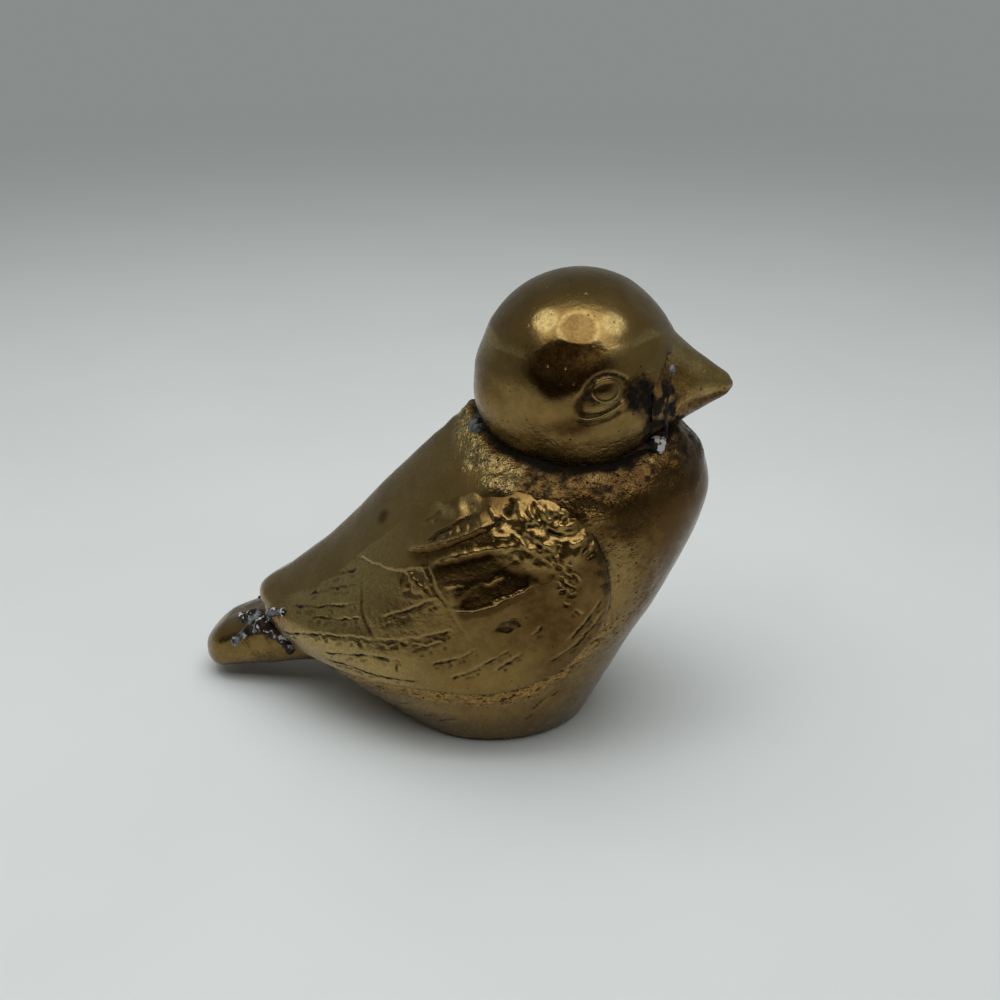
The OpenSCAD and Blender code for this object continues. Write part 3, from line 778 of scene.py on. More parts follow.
def wing_faces(rows, columns, few_rows, few):
    """Faces of the fine outer grid, of the coarse inner grid that follows it, and of the rim between."""
    under = rows * columns
    faces = flipped(grid_faces(rows, columns)) + grid_faces(few_rows, few, start=under)
    for i in range(few_rows - 1):
        low = [(i * WING_STRIDE + k) * columns for k in range(WING_STRIDE + 1)]
        a, b = under + i * few, under + (i + 1) * few
        faces.append(low + [b, a])
        faces.append([k + columns - 1 for k in low[::-1]] + [a + few - 1, b + few - 1])
    for j in range(few - 1):
        lead = [j * WING_STRIDE + k for k in range(WING_STRIDE + 1)]
        a, tip = under + j, under + (few_rows - 1) * few + j
        faces.append(lead[::-1] + [a, a + 1])
        faces.append([k + (rows - 1) * columns for k in lead] + [tip + 1, tip])
    return faces


def wing_finish(u, v, outer, free, top, dirt, wear, brown):
    """Finish of a wing's outside: that of its carving, dark soil along its edges that is partly painted
    shade where the wing meets the body, and tones along its length, with gold towards the tip that is
    partly a painted reflection.
    """
    place = wing_place(u, v)
    # Dark along the free edges: soil, and painted shade where the wing meets the body
    edge_grime_and_shade = smooth(free, 0.9, 0.15) * (0.75 + 0.4 * noise(outer, 1.0, 17))
    lead = smooth(path_distance(place, LEAD_EDGE)[0], 5.0, 1.0) * smooth(place[..., 1], 30, 36)
    stain = hump(np.hypot((u - 0.93) / 0.05, (v - 0.75) / 0.3), 1.0)
    dirt = np.maximum.reduce([
        dirt,
        edge_grime_and_shade,
        0.55 * lead * (0.8 + 0.6 * noise(outer, 1.2, 18)),
        0.55 * stain * (0.8 + 0.6 * noise(outer, 1.5, 20))])
    # Gold towards the tip: wear, and a painted reflection that lightens the rear of the wing
    wear = np.maximum(wear, 0.6 * smooth(u, 0.4, 0.7))
    middle = 0.5 * smooth(u, 0.46, 0.26) * smooth(v, 0.1, 0.3)
    brown = np.maximum.reduce([middle, 0.4 * smooth(u, 0.32, 0.12), stain, brown])
    return finish_of(u.shape, dirt, 0.05 * smooth(top, 0, 4), wear, brown)


def wing_piece(name, side):
    """A wing plate: carved outside, plain inside, its top running out into the back."""
    u, v = np.meshgrid(np.linspace(0, 1, WING_STEPS + 1), np.linspace(0, 1, WING_ROWS + 1), indexing="ij")
    place = wing_place(u, v)
    turn = flank_turn(place[..., 0], place[..., 1])
    base = skin(place[..., 1], turn)
    normal = skin_normal(place[..., 1], turn)

    free, top = wing_gaps(place)
    height, dirt, wear, brown = carve(place)
    height *= smooth(free, 0.2, 1.4) * smooth(top, 0.0, 1.5)
    lip = np.sqrt(1 - (1 - np.clip(free / WING_LIP, 0, 1)) ** 2)
    plate = mix(WING_PLATE, WING_TIP_PLATE, u**2)
    back = BACK_LIFT - BACK_LIFT / 2 * smooth(top, 1.2, 0.0)
    lift = mix(back, plate, smooth((1 - v) / WING_FADE, 0, 1)) * mix(WING_DIVE, 1.0, lip)
    outer = base + (lift + height + uneven_skin(base))[..., None] * normal
    inner = (base - WING_BACK * normal)[::WING_STRIDE, ::WING_STRIDE]

    points = np.concatenate([outer.reshape(-1, 3), inner.reshape(-1, 3)])
    faces = wing_faces(*outer.shape[:2], *inner.shape[:2])
    finish = wing_finish(u, v, outer, free, top, dirt, wear, brown)
    # The coarse inside, and with it the rim's side walls, is darkened as painted shade where the wing meets
    # the body
    finish = np.concatenate([finish.reshape(-1, 4), finish_of((len(points) - u.size,), 0.9)])
    if side < 0:
        points, faces = mirrored(points, faces)
    add_piece(name, name, points, faces, finish, BRASS_LOOK)


# Body


BODY_SIDES = 280
FOOT_RINGS = 10
OUTER_RINGS = 170
CEILING_RINGS = 5
HOLLOW_RINGS = 36
CUP_RINGS = 12
BORE_R = SPIGOT_R + SEAT_GAP
# Brown spot on the back
BACK_SPOT = np.array([-10.3, -9.5, 40.4])
# Dark tarnish on the right of the breast
BREAST_STAIN = np.array([34.2, -16.5, 47.2])
STAIN_HALF = np.array([6.5, 7.0, 4.0])
# Pitted strip of the breast, in the side view
PIT_PATH = [(34, 42), (36.5, 37), (36, 31), (33, 26), (30, 22)]
# Nicks near the foot on the right: places in the side view
BODY_NICKS = [
    [(-1.5, 5.6), (1.3, 7.2)],
    [(1.5, 5.2), (4.8, 6.9)],
    [(18.7, 9), (20.8, 11.3)],
    [(22.1, 11.5), (23.2, 12.2)],
    [(17.5, 6.5), (18.6, 7.4)],
    [(-6.5, 7.5), (-4, 8.6)],
]


def level_wall(line, z):
    """Wall measured level, so that it keeps its thickness square to a sloping skin."""
    slope = along(line, z + 0.5) - along(line, z - 0.5)
    return BODY_WALL * np.sqrt(1 + slope**2)


def hollow(z, turn):
    z, turn = np.broadcast_arrays(np.asarray(z, float), turn)
    at = np.maximum(z, 0.5)
    front = along(FRONT_LINE, at) - level_wall(FRONT_LINE, at)
    back = along(BACK_LINE, at) + level_wall(BACK_LINE, at)
    half = along(WIDTH_LINE, at) - level_wall(WIDTH_LINE, at)
    x, y = outline(turn, front, back, widest_x(at), half)
    return np.stack([x, y, z], -1)


def under_ball(points, radius):
    """Points inside a ball about the head's centre drop to its lower half."""
    off = points - HEAD_AT
    level = np.hypot(off[..., 0], off[..., 1])
    floor = HEAD_AT[2] - np.sqrt(np.maximum(radius**2 - level**2, 0))
    inside = np.linalg.norm(off, axis=-1) < radius
    dropped = points.copy()
    dropped[..., 2] = np.where(inside, np.minimum(points[..., 2], floor), points[..., 2])
    return dropped


def bore_ring(turn, z):
    return np.stack([HEAD_AT[0] + BORE_R * cos(turn), BORE_R * sin(turn), np.full_like(turn, z)], -1)


def plain_skin(turn):
    """Rings of the body's outside from the rounded foot rim up to the nape."""
    foot = FOOT_ROUND * (1 - cos(np.linspace(0, 90, FOOT_RINGS)))
    z = np.concatenate([foot[:-1], np.linspace(FOOT_ROUND, NAPE_Z, OUTER_RINGS)])[:, None]
    inset = FOOT_ROUND - np.sqrt(np.maximum(FOOT_ROUND**2 - np.maximum(FOOT_ROUND - z, 0) ** 2, 0))
    return skin(z, turn[None, :], -inset)


def body_marks(outer):
    """Distances from the head and the wing's edges, and the rough, pitted, nicked and dull places."""
    side_view = outer[..., [0, 2]]
    marks = SimpleNamespace(gap=np.linalg.norm(outer - HEAD_AT, axis=-1) - SEAT_R)
    distance, _, side = path_distance(side_view, LOW_EDGE)
    marks.below = distance * side
    distance, _, side = path_distance(side_view, LEAD_EDGE)
    marks.before = -distance * side
    reach = mix(4.5, 14.5, smooth(outer[..., 0], 26, 8))
    marks.neck = smooth(marks.gap, reach, 0.4 * reach) * smooth(noise(outer, 3.5, 21), -0.6, 0.5)
    under = hump(marks.below - 1.6, 1.9) * np.clip(0.85 + 0.4 * noise(outer, 2.4, 22), 0, 1)
    ahead = 0.7 * hump(marks.before - 1.4, 2.0) * np.clip(0.6 + 0.6 * noise(outer, 2.4, 28), 0, 1)
    marks.line = np.maximum(under, ahead)
    strip = smooth(path_distance(side_view, rounded(PIT_PATH))[0], 4.5, 1.5)
    crumbs = smooth(noise(outer, 0.6, 27) + 0.3 * noise(outer, 2.5, 30), 0.25, 0.6)
    marks.pits = np.maximum(marks.line, 0.6 * strip) * crumbs
    nicks = [hump(path_distance(side_view, path)[0], 0.25) for path in BODY_NICKS]
    marks.nicks = np.maximum.reduce(nicks) * (outer[..., 1] < 0)
    dull = smooth(outer[..., 0], 10, 18) * smooth(noise(outer, 3.5, 74), -0.8, 0.3)
    marks.dull = smooth(marks.gap, 12, 7) * dull
    rough = np.maximum.reduce([0.6 * marks.neck, 0.5 * marks.line, 0.32 * strip, 0.3 * marks.dull])
    marks.grit = np.clip(rough, 0, 1)
    return marks


def body_bumps(outer, marks):
    """Height of the uneven skin over the plain one."""
    distance, _, side = path_distance(outer[..., [0, 2]], TOP_EDGE)
    bumps = uneven_skin(outer)
    bumps += BACK_LIFT * smooth(-distance * side, -2.5, -0.8) * smooth(distance, 16, 6)
    bumps += marks.grit * (0.3 * noise(outer, 1.6, 25) + 0.28 * noise(outer, 0.9, 26))
    bumps += 0.55 * smooth(marks.gap, 12, 7) * noise(outer, 3.8, 29)
    bumps -= 0.25 * marks.pits + 0.25 * hump(marks.below, 0.6) + 0.2 * marks.nicks
    return bumps * smooth(outer[..., 2], 0.2, 3)


def body_finish(outer, marks):
    """Finish of the body's outside. The crease under the head and the band right under the wing's edges are
    darkened as painted shade, with grime.
    """
    # Dark and brown in the crease under the head: painted shade, with grime
    crease = smooth(marks.gap + 0.9 * noise(outer, 1.8, 69), 4.2, 1.2)
    spot = np.linalg.norm(outer - BACK_SPOT, axis=-1)
    blotch = np.linalg.norm((outer - BREAST_STAIN) / STAIN_HALF, axis=-1) + 0.25 * noise(outer, 3, 70)
    stain = smooth(blotch, 1.5, 0.5)
    specks = smooth(noise(outer, 1.0, 77), -0.4, 0.5)
    ragged = np.clip(0.7 + 0.5 * noise(outer, 1.1, 78), 0, 1)
    # Dark band right under the wing's lower and leading edges: painted shade, with grime
    wing_seam_shade = np.maximum(hump(marks.below, 0.45), hump(marks.before, 0.45))
    dirt = np.maximum.reduce([
        0.9 * crease**2,
        0.6 * marks.pits,
        0.7 * marks.nicks,
        0.6 * smooth(spot, 1.6, 0.5),
        0.4 * stain,
        0.68 * marks.dull * specks,
        0.62 * marks.neck * specks,
        0.8 * ragged * wing_seam_shade])
    wear = np.maximum.reduce([
        marks.neck * smooth(marks.gap, 1.5, 3.5) * (1 - 0.85 * marks.dull),
        0.9 * marks.line * (1 - marks.pits),
        0.22 * smooth(outer[..., 0], 12, -4)])
    brown = np.maximum.reduce([
        crease,
        stain,
        0.9 * marks.line,
        0.75 * marks.dull,
        0.75 * smooth(outer[..., 0], 32, 42),
        smooth(spot, 2.0, 0.8)])
    return finish_of(crease.shape, dirt, marks.grit, wear, brown)


def body_inside(turn):
    """Rings of the hollow, from the bore in its ceiling down to the foot rim."""
    ceiling_z = NAPE_Z - 2 * BODY_WALL
    walls = hollow(np.linspace(ceiling_z, 0, HOLLOW_RINGS)[:, None], turn[None, :])
    outward = np.linspace(0, 1, CEILING_RINGS + 1)[:-1, None, None]
    ceiling = mix(bore_ring(turn, ceiling_z)[None], walls[:1], outward)
    return under_ball(np.concatenate([ceiling, walls]), SEAT_R + BODY_WALL)


def body_cup(turn):
    """Rings of the cup for the head, from the nape in to the bore."""
    inward = np.linspace(0, 1, CUP_RINGS + 1)[1:, None, None]
    return under_ball(mix(skin(NAPE_Z, turn)[None], bore_ring(turn, NAPE_Z)[None], inward), SEAT_R)


def body_piece():
    """The hollow body with its foot rim, its cup for the head and the bore in it."""
    turn = ring_turns(BODY_SIDES)
    plain = plain_skin(turn)
    marks = body_marks(plain)
    outer = under_ball(plain + body_bumps(plain, marks)[..., None] * grid_normals(plain), SEAT_R)
    inside, cup = body_inside(turn), body_cup(turn)
    rings = np.concatenate([inside, outer, cup])
    faces = grid_faces(len(rings), BODY_SIDES, wrap=True, loop=True)
    finish = np.concatenate([
        finish_of(inside.shape[:2], 0.3, 0.6),
        body_finish(outer, marks),
        # The cup under the head is darkened as painted shade
        finish_of(cup.shape[:2], 0.8)])
    add_piece("body_shell", "body_shell", rings, faces, finish, BRASS_LOOK)


# Head


EYE_TURN = 70
EYE_RISE = 7.5
EYE_HALF = (2.5, 1.95)
EYE_TILT = 14
# How uneven the head's skin is, and how far inside the ball it lies
HEAD_LOSS = 0.07
# Flat places worn or filed on each side of the head: turn, rise, depth of the cut
FACETS = [(86, 40, 0.33), (112, 44, 0.1), (60, 43, 0.12)]
FACET_SOFT = 0.04
# Flat strip below the brow: its upper and lower edge as rise against turn
BROW_TOP = [(38, 31), (50, 30), (60, 30.5), (69, 32), (79, 35), (94, 35), (102, 33), (110, 28), (118, 22)]
BROW_FOOT = [(38, 29.5), (50, 26), (60, 22), (75, 15), (90, 7), (98, 3), (104, 5), (110, 12), (118, 21)]
OCCIPUT_TURN = 168
OCCIPUT_RISE = -8
# Round the eye, in millimetres ahead of its middle and above it
SOCKET_AT = (-0.6, -1.3)
SOCKET_HALF = (5.2, 3.0)
SOCKET_TILT = 22
LID_PATH = [(-4.6, -4.6), (-2.6, -4.7), (-0.4, -4.1), (1.6, -3.1), (3.6, -1.7)]
LID_GROOVE = [(-5.4, -5.4), (-3, -5.9), (-0.4, -5.3), (1.8, -4.2), (3.4, -3.0)]
UPPER_LID = [(-4.0, -0.6), (-2.4, 1.6), (-0.2, 2.6), (2.0, 2.3), (4.4, 0.9)]
BROW_RIDGE = [(-5, 1.2), (-2, 4.0), (2.5, 5.2), (6.5, 4.2), (9.5, 2.6)]
# Hollow below it, darkened as painted shade
CHEEK_AT = (-5.8, -6.6)
CHEEK_HALF = (4.2, 1.9)
CHEEK_TILT = 12
# Black deposit before the eye, as turn and rise, and its arm up to the root of the beak
LORE_PATH = [(50, 4), (41, -4), (35, -14), (31, -24), (27, -34)]
LORE_ARM = [(44, 3), (34, 6), (27, 12), (23, 16)]


def direction(turn, rise):
    """Unit vector to the bird's right of straight ahead, and up."""
    return np.array([cos(rise) * cos(turn), -cos(rise) * sin(turn), sin(rise)])


def soft_low(a, b, soft):
    """The lower of two values, rounded where they meet."""
    return -soft * np.logaddexp(-a / soft, -b / soft)


def eye_frame(right):
    """Places ahead of the right eye and above it, in millimetres, and how nearly they face its way."""
    eye = direction(EYE_TURN, EYE_RISE)
    ahead = direction(EYE_TURN - 90, 0)
    up = np.cross(eye, ahead)
    return HEAD_R * np.stack([right @ ahead, right @ up], -1), right @ eye


def cut_flat(bump, right, turn, rise):
    """Height of the head with its flat places, their worn edges, and the two edges of the brow."""
    flats = np.full_like(bump, 9.0)
    for flat_turn, flat_rise, cut in FACETS:
        facing = np.maximum(right @ direction(flat_turn, flat_rise), 0.5)
        flats = np.minimum(flats, (HEAD_R - HEAD_LOSS - cut) / facing - HEAD_R)
    turn = np.clip(turn, BROW_TOP[0][0], BROW_TOP[-1][0])
    top, foot = along(BROW_TOP, turn), along(BROW_FOOT, turn)
    chord = (HEAD_R - HEAD_LOSS) * cos((top - foot) / 2)
    flats = np.minimum(flats, chord / np.maximum(cos(rise - (top + foot) / 2), 0.3) - HEAD_R)
    soft = mix(4 * FACET_SOFT, FACET_SOFT, smooth(rise, foot, top))
    bump = soft_low(bump, flats, soft) - 0.35 * smooth(right @ direction(5, 45), 0.92, 1.0)
    return bump, hump(bump - flats, 0.07) * smooth(rise, 5, 25), top, foot


def eye_shape(place, near, points):
    """Height of eye, lids, brow and cheek, and the dirt, wear and tarnish that go with it. The dark under
    the upper lid, on the top of the eye, in the groove under the lower lid, in the socket corner and in the
    cheek hollow is painted shade, and the worn lower rim of the eye is partly a painted highlight.
    """
    ridge = near * stroke(place, BROW_RIDGE, 1.9)[0]
    socket = near * smooth(oval(place, SOCKET_AT, SOCKET_HALF, SOCKET_TILT), 1.12, 0.7)
    cheek = near * hump(oval(place, CHEEK_AT, CHEEK_HALF, CHEEK_TILT), 1.0)
    height = 0.2 * ridge - 0.5 * socket - 0.35 * cheek

    a, b = turned(place, (0, 0), EYE_TILT)
    ball = np.hypot(a / EYE_HALF[0], b / EYE_HALF[1])
    disc = near * smooth(ball, 1.06, 0.94)
    shadowed_dent = near * hump(np.hypot((a + 0.3) / 1.7, (b - 0.8) / 0.8), 0.8)
    rim = near * hump((ball - 0.9) * 2.2, 0.22) * smooth(b, 0.8, -0.6)
    height += disc * (0.6 - 0.15 * ball**2) + 0.12 * rim - 0.12 * shadowed_dent

    _, ends, signed = stroke(place, LID_PATH, 1)
    lid = near * ends * np.where(signed > 0, np.exp(-signed / 1.8), smooth(signed, -0.4, 0))
    groove = near * stroke(place, LID_GROOVE, 0.4)[0]
    upper = near * stroke(place, UPPER_LID, 0.5)[0]
    height += 0.5 * lid - 0.25 * groove - 0.4 * upper

    shade = socket * (1 - disc) * smooth(lid, 0.5, 0.2) * smooth(place[..., 0], 1, -1.5)
    # Painted shade: dark under the upper lid, on the top of the eye, in the groove under the lower lid, in
    # the socket corner and in the cheek hollow
    dirt = np.maximum.reduce([
        0.55 * groove,
        0.5 * shadowed_dent,
        0.7 * upper,
        0.65 * shade * smooth(noise(points, 1.5, 33), -0.9, 0.1),
        0.5 * cheek * smooth(noise(points, 1.2, 36), -0.6, 0.4)])
    # The worn lower rim of the eye is partly a painted highlight
    wear = np.maximum(0.9 * lid * ends, 0.5 * rim)
    return height, dirt, wear, np.maximum.reduce([0.9 * cheek, shadowed_dent, shade])


def black_deposit(turn, rise, points):
    """The black deposit between eye and beak, and the tarnish round it."""
    view = np.stack([turn, rise], -1)
    patch = hump(path_distance(view, rounded(LORE_PATH))[0], 9)
    arm = hump(path_distance(view, rounded(LORE_ARM))[0], 3.5)
    spread = np.maximum(patch, arm)
    ragged = spread + 0.3 * noise(points, 1.6, 34) + 0.15 * noise(points, 0.7, 37)
    return smooth(ragged, 0.15, 0.8), smooth(spread, 0.05, 0.5) * smooth(ragged, -0.2, 0.3)


def head_shape(way):
    """Radius of the head along unit vectors, and its finish."""
    right = way.copy()
    right[..., 1] = -np.abs(way[..., 1])
    rise = np.degrees(np.arcsin(np.clip(right[..., 2], -1, 1)))
    turn = np.degrees(np.arctan2(-right[..., 1], right[..., 0]))
    points = way * HEAD_R

    bump = HEAD_LOSS * noise(points, 7, 31) - HEAD_LOSS
    bump += 0.6 * smooth(right @ direction(OCCIPUT_TURN, OCCIPUT_RISE), 0.72, 1.0)
    bump += 0.9 * smooth(right @ direction(150, -30), 0.8, 1.0)
    bump += 1.1 * np.clip((-26 - rise) / 21, 0, 1) ** 1.5
    bump, edge, top, foot = cut_flat(bump, right, turn, rise)
    place, facing = eye_frame(right)
    height, dirt, wear, brown = eye_shape(place, smooth(facing, 0.3, 0.55), points)
    lore, halo = black_deposit(turn, rise, points)
    bump += height - lore * (0.3 + 0.35 * noise(points, 1.5, 32) + 0.2 * noise(points, 0.7, 35))

    # Dark on the head's underside next to the body: painted shade in the neck crease
    neck = smooth(rise + 2 * noise(points, 2, 38), -47, -54)
    soot = lore * (0.85 + 0.35 * noise(points, 0.9, 39))
    # Tarnish on the crown's flat facet, partly a painted dark reflection
    dull = smooth(right @ direction(86, 41), 0.98, 0.992)
    # Tarnish on the flat strip below the brow, partly a painted dark reflection
    temple_shade = smooth(rise, foot - 6, foot + 4) * smooth(rise, top + 1, top - 3)
    temple_shade = temple_shade * smooth(turn, 60, 76) * smooth(turn, 118, 106)
    dirt = np.maximum.reduce([dirt, soot, 0.9 * neck])
    grit = np.maximum(0.02 + 0.06 * smooth(rise, 0, -20), 0.8 * lore)
    wear = np.maximum.reduce([wear, 0.8 * edge, 0.5 * smooth(rise, -36, -45)])
    brown = np.maximum.reduce([brown, 0.5 * dull, 0.75 * temple_shade, halo])
    return HEAD_R + bump, finish_of(bump.shape, dirt, grit, wear * (1 - 0.7 * dull), brown)


HEAD_SPOKES = 380
# Rings close together round the eyes and wider apart between them
FINE_TILT = 64
FINE_RINGS = 100
MIDDLE_RINGS = 40


def head_piece():
    """The ball head with brows, lids and eyes, and the spigot below it."""
    fine = np.linspace(0, FINE_TILT, FINE_RINGS)
    middle = np.linspace(FINE_TILT, 180 - FINE_TILT, MIDDLE_RINGS)
    tilt = np.concatenate([fine[1:], middle[1:-1], 180 - fine[:0:-1]])[:, None]
    spin = (np.arange(HEAD_SPOKES) * 360 / HEAD_SPOKES)[None, :]
    way = np.stack(np.broadcast_arrays(sin(tilt) * cos(spin), -cos(tilt), sin(tilt) * sin(spin)), -1)
    rows, columns = way.shape[:2]
    way = np.concatenate([way.reshape(-1, 3), [(0, -1, 0), (0, 1, 0)]])
    radius, finish = head_shape(way)
    level = np.hypot(way[:, 0], way[:, 1])
    spigot = np.minimum(SPIGOT_R / np.maximum(level, 1e-6), SPIGOT_END / np.maximum(-way[:, 2], 1e-6))
    radius = np.where(way[:, 2] < -0.8, np.maximum(radius, spigot), radius)
    points = HEAD_AT + way * radius[:, None]
    faces = flipped(grid_faces(rows, columns, wrap=True))
    faces += fan_faces(rows * columns, 0, columns)
    faces += flipped(fan_faces(rows * columns + 1, (rows - 1) * columns, columns))
    add_piece("head_shell", "head_shell", points, faces, finish, BRASS_LOOK)


# Beak


BEAK_RINGS = 100
BEAK_SIDES = 160
# Radius of the beak against the distance behind its tip
BEAK_LINE = [
    (0.3, 1.0), (1, 1.8), (2, 2.5), (4, 3.75), (7, 5.7),
    (9, 7.3), (10.5, 8.6), (11.5, 9.75), (12.5, 11), (13.3, 11.7)]
BEAK_LENGTH = BEAK_LINE[-1][0]
BEAK_BLUNT = 0.8
BEAK_UNDERCUT = 1.2


def beak_finish(behind, up, crease, grid):
    """Finish of the beak: a black ragged root, brown and darkened below as painted shade, and worn above.
    """
    edge = behind + 1.4 * noise(grid, 2.4, 44)
    shade = smooth(edge, 8.6, 10.4) * smooth(up, 0.85, 0.1)
    # Blackened near the root below the middle, and on the next lines darkened and browned along the whole
    # underside: painted shade on the beak's underside
    shade = np.maximum(shade, smooth(behind, 5, 9) * smooth(up, -0.2, -0.7))
    ragged = smooth(noise(grid, 1.6, 43) + 1.8 * smooth(behind, 8.6, 10.2), -0.75, 0.2)
    crusts = mix(0.35, 1.0, smooth(noise(grid, 1.5, 46), -0.3, 0.3))
    dirt = np.maximum.reduce([0.9 * shade * ragged * crusts, 0.5 * crease, 0.5 * smooth(up, -0.1, -0.5)])
    brown = np.maximum(smooth(up, 0.0, -0.4), 0.9 * smooth(behind, 5.5, 9) * smooth(up, 0.9, 0.4))
    return finish_of(dirt.shape, dirt, 0.12, 0.45 + 0.4 * noise(grid, 2.2, 45), brown)


def beak_piece():
    """A cone that flares into the head, with a blunt tip and a crease along each side."""
    behind = BEAK_LENGTH * np.linspace(1, 0, BEAK_RINGS)[:-1, None] ** 1.5
    spin = (np.arange(BEAK_SIDES) * 360 / BEAK_SIDES)[None, :]
    behind, spin = np.broadcast_arrays(behind, spin)
    up = sin(spin)
    blunt = np.sqrt(1 - (1 - np.clip(behind / BEAK_BLUNT, 0, 1)) ** 2)
    radius = along(BEAK_LINE, np.maximum(behind, BEAK_LINE[0][0])) * blunt
    fade = smooth(behind, 0.5, 3) * smooth(behind, 11, 8)
    crease = fade * hump(up + 0.35, 0.14)
    radius = radius - BEAK_UNDERCUT * smooth(behind, 8, BEAK_LENGTH) * smooth(up, 0.2, -0.8)
    radius = radius - 0.22 * crease
    middle_z = HEAD_AT[2] - BEAK_DROP
    grid = np.stack([BEAK_TIP_X - behind, radius * cos(spin), radius * up + middle_z], -1)
    grid[..., 1:] += 0.08 * np.stack([noise(grid, 3, 41), noise(grid, 3, 42)], -1) * fade[..., None]
    ends = np.array([(BEAK_TIP_X - BEAK_LENGTH, 0, middle_z), (BEAK_TIP_X, 0, middle_z)])
    finish = beak_finish(behind, up, crease, grid).reshape(-1, 4)
    finish = np.concatenate([finish, finish_of((2,), 0, 0.12, 0.45 + 0.4 * noise(ends, 2.2, 45))])
    rows = BEAK_RINGS - 1
    faces = grid_faces(rows, BEAK_SIDES, wrap=True)
    faces += flipped(fan_faces(rows * BEAK_SIDES, 0, BEAK_SIDES))
    faces += fan_faces(rows * BEAK_SIDES + 1, (rows - 1) * BEAK_SIDES, BEAK_SIDES)
    points = np.concatenate([grid.reshape(-1, 3), ends])
    add_piece("beak", "beak", points, faces, finish, BRASS_LOOK)


# Tail


TAIL_RINGS = 150
TAIL_SIDES = 200
TAIL_ROOT_X = -mix(FOOT_BACK, RUMP_REACH, 0.3)


def tail_point(x, turn, grow=0):
    """Point of the tail at a place behind the foot and a turn about its length."""
    open_share = np.clip((x + TAIL_REACH) / TAIL_ROUND, 0, 1)
    open_share = np.sqrt(1 - (1 - open_share) ** 2)
    share = (x + TAIL_REACH) / (TAIL_ROOT_X + TAIL_REACH)
    half = mix(TAIL_END_W, TAIL_ROOT_W, share) / 2 * open_share + grow
    thick = mix(TAIL_END_T, TAIL_ROOT_T, share) / 2 * open_share + grow
    z = mix(TAIL_END_Z, TAIL_ROOT_Z, share)
    c, s = cos(turn), sin(turn)
    y = half * np.sign(c) * np.abs(c) ** (2 / TAIL_POWER)
    z = z + thick * np.sign(s) * np.abs(s) ** (2 / TAIL_POWER)
    return np.stack(np.broadcast_arrays(x + FOOT_X, y, z), -1)


def tail_piece():
    """The blunt tail, with its root inside the rump."""
    place = np.linspace(0, 1, TAIL_RINGS + 1)[1:] ** 1.6
    x = mix(-TAIL_REACH, TAIL_ROOT_X, place)[:, None]
    turn = (np.arange(TAIL_SIDES) * 360 / TAIL_SIDES)[None, :]
    grid = tail_point(x, turn)
    bump = 0.12 * noise(grid, 6, 51) - 0.1 + 0.04 * noise(grid, 2, 52)
    grid = grid + (bump * smooth(x + TAIL_REACH, 0, 2))[..., None] * grid_normals(grid)
    ends = np.stack([tail_point(-TAIL_REACH, 0.0), tail_point(TAIL_ROOT_X, 0.0)]) * (1, 0, 1)
    near = smooth(x, -52, -46) * (0.5 + 0.5 * noise(grid, 2.5, 53))
    dirt = np.concatenate([0.6 * np.clip(near, 0, 1).reshape(-1), [0, 0]])
    count = TAIL_RINGS * TAIL_SIDES
    faces = flipped(grid_faces(TAIL_RINGS, TAIL_SIDES, wrap=True))
    faces += flipped(fan_faces(count, 0, TAIL_SIDES))
    faces += fan_faces(count + 1, count - TAIL_SIDES, TAIL_SIDES)
    finish = finish_of(dirt.shape, dirt, 0.05, 0.15, 0.3)
    points = np.concatenate([grid.reshape(-1, 3), ends])
    add_piece("tail", "tail", points, faces, finish, BRASS_LOOK)


# Solder


CREASE_SIDES = 260
CREASE_STEPS = 24
NAPE_BEAD_TURN = -163
THROAT_BEAD_TURN = -27
BEAK_BEAD_TURN = 148


def tube(path, radius):
    """Rings of points of a closed tube along a ring of points."""
    ahead = unit(np.roll(path, -1, 0) - np.roll(path, 1, 0))
    out = unit(path - path.mean(0))
    out = unit(out - (out * ahead).sum(-1, keepdims=True) * ahead)
    side = np.cross(ahead, out)
    spin = (np.arange(CREASE_STEPS) * 360 / CREASE_STEPS)[None, :, None]
    return path[:, None] + radius[..., None] * (cos(spin) * out[:, None] + sin(spin) * side[:, None])


def add_fillet(name, path, radius, lumps, dirt, flakes):
    """Lumpy solder along a ring of points. Lumps are given by their height, size and seed."""
    plain = np.broadcast_to(radius[:, None], (len(path), CREASE_STEPS))
    points = tube(path, plain)
    rough = 1 + sum(height * noise(points, size, seed) for height, size, seed in lumps)
    points = tube(path, plain * rough)
    faces = grid_faces(len(path), CREASE_STEPS, wrap=True, loop=True)
    finish = finish_of(points.shape[:2], dirt[:, None], 0.5, flakes[:, None])
    add_piece(name, name, points, faces, finish, SOLDER_LOOK)


def gap_of(angle, target):
    """Angle between two directions, from 0 to 180."""
    return np.abs((angle - target + 180) % 360 - 180)


def neck_path():
    """Where the body meets the head's seat, all round the neck."""
    turn = ring_turns(CREASE_SIDES)
    wall = skin(np.linspace(BREAST_Z, NAPE_Z, 300)[:, None], turn[None, :])
    middle = np.array([HEAD_AT[0], 0, NAPE_Z])
    ledge = mix(wall[-1:], middle, np.linspace(0, 1, 200)[1:, None, None])
    wall = np.concatenate([wall, ledge])
    inside = np.linalg.norm(wall - HEAD_AT, axis=-1) < SEAT_R
    return wall[inside.argmax(0), np.arange(CREASE_SIDES)]


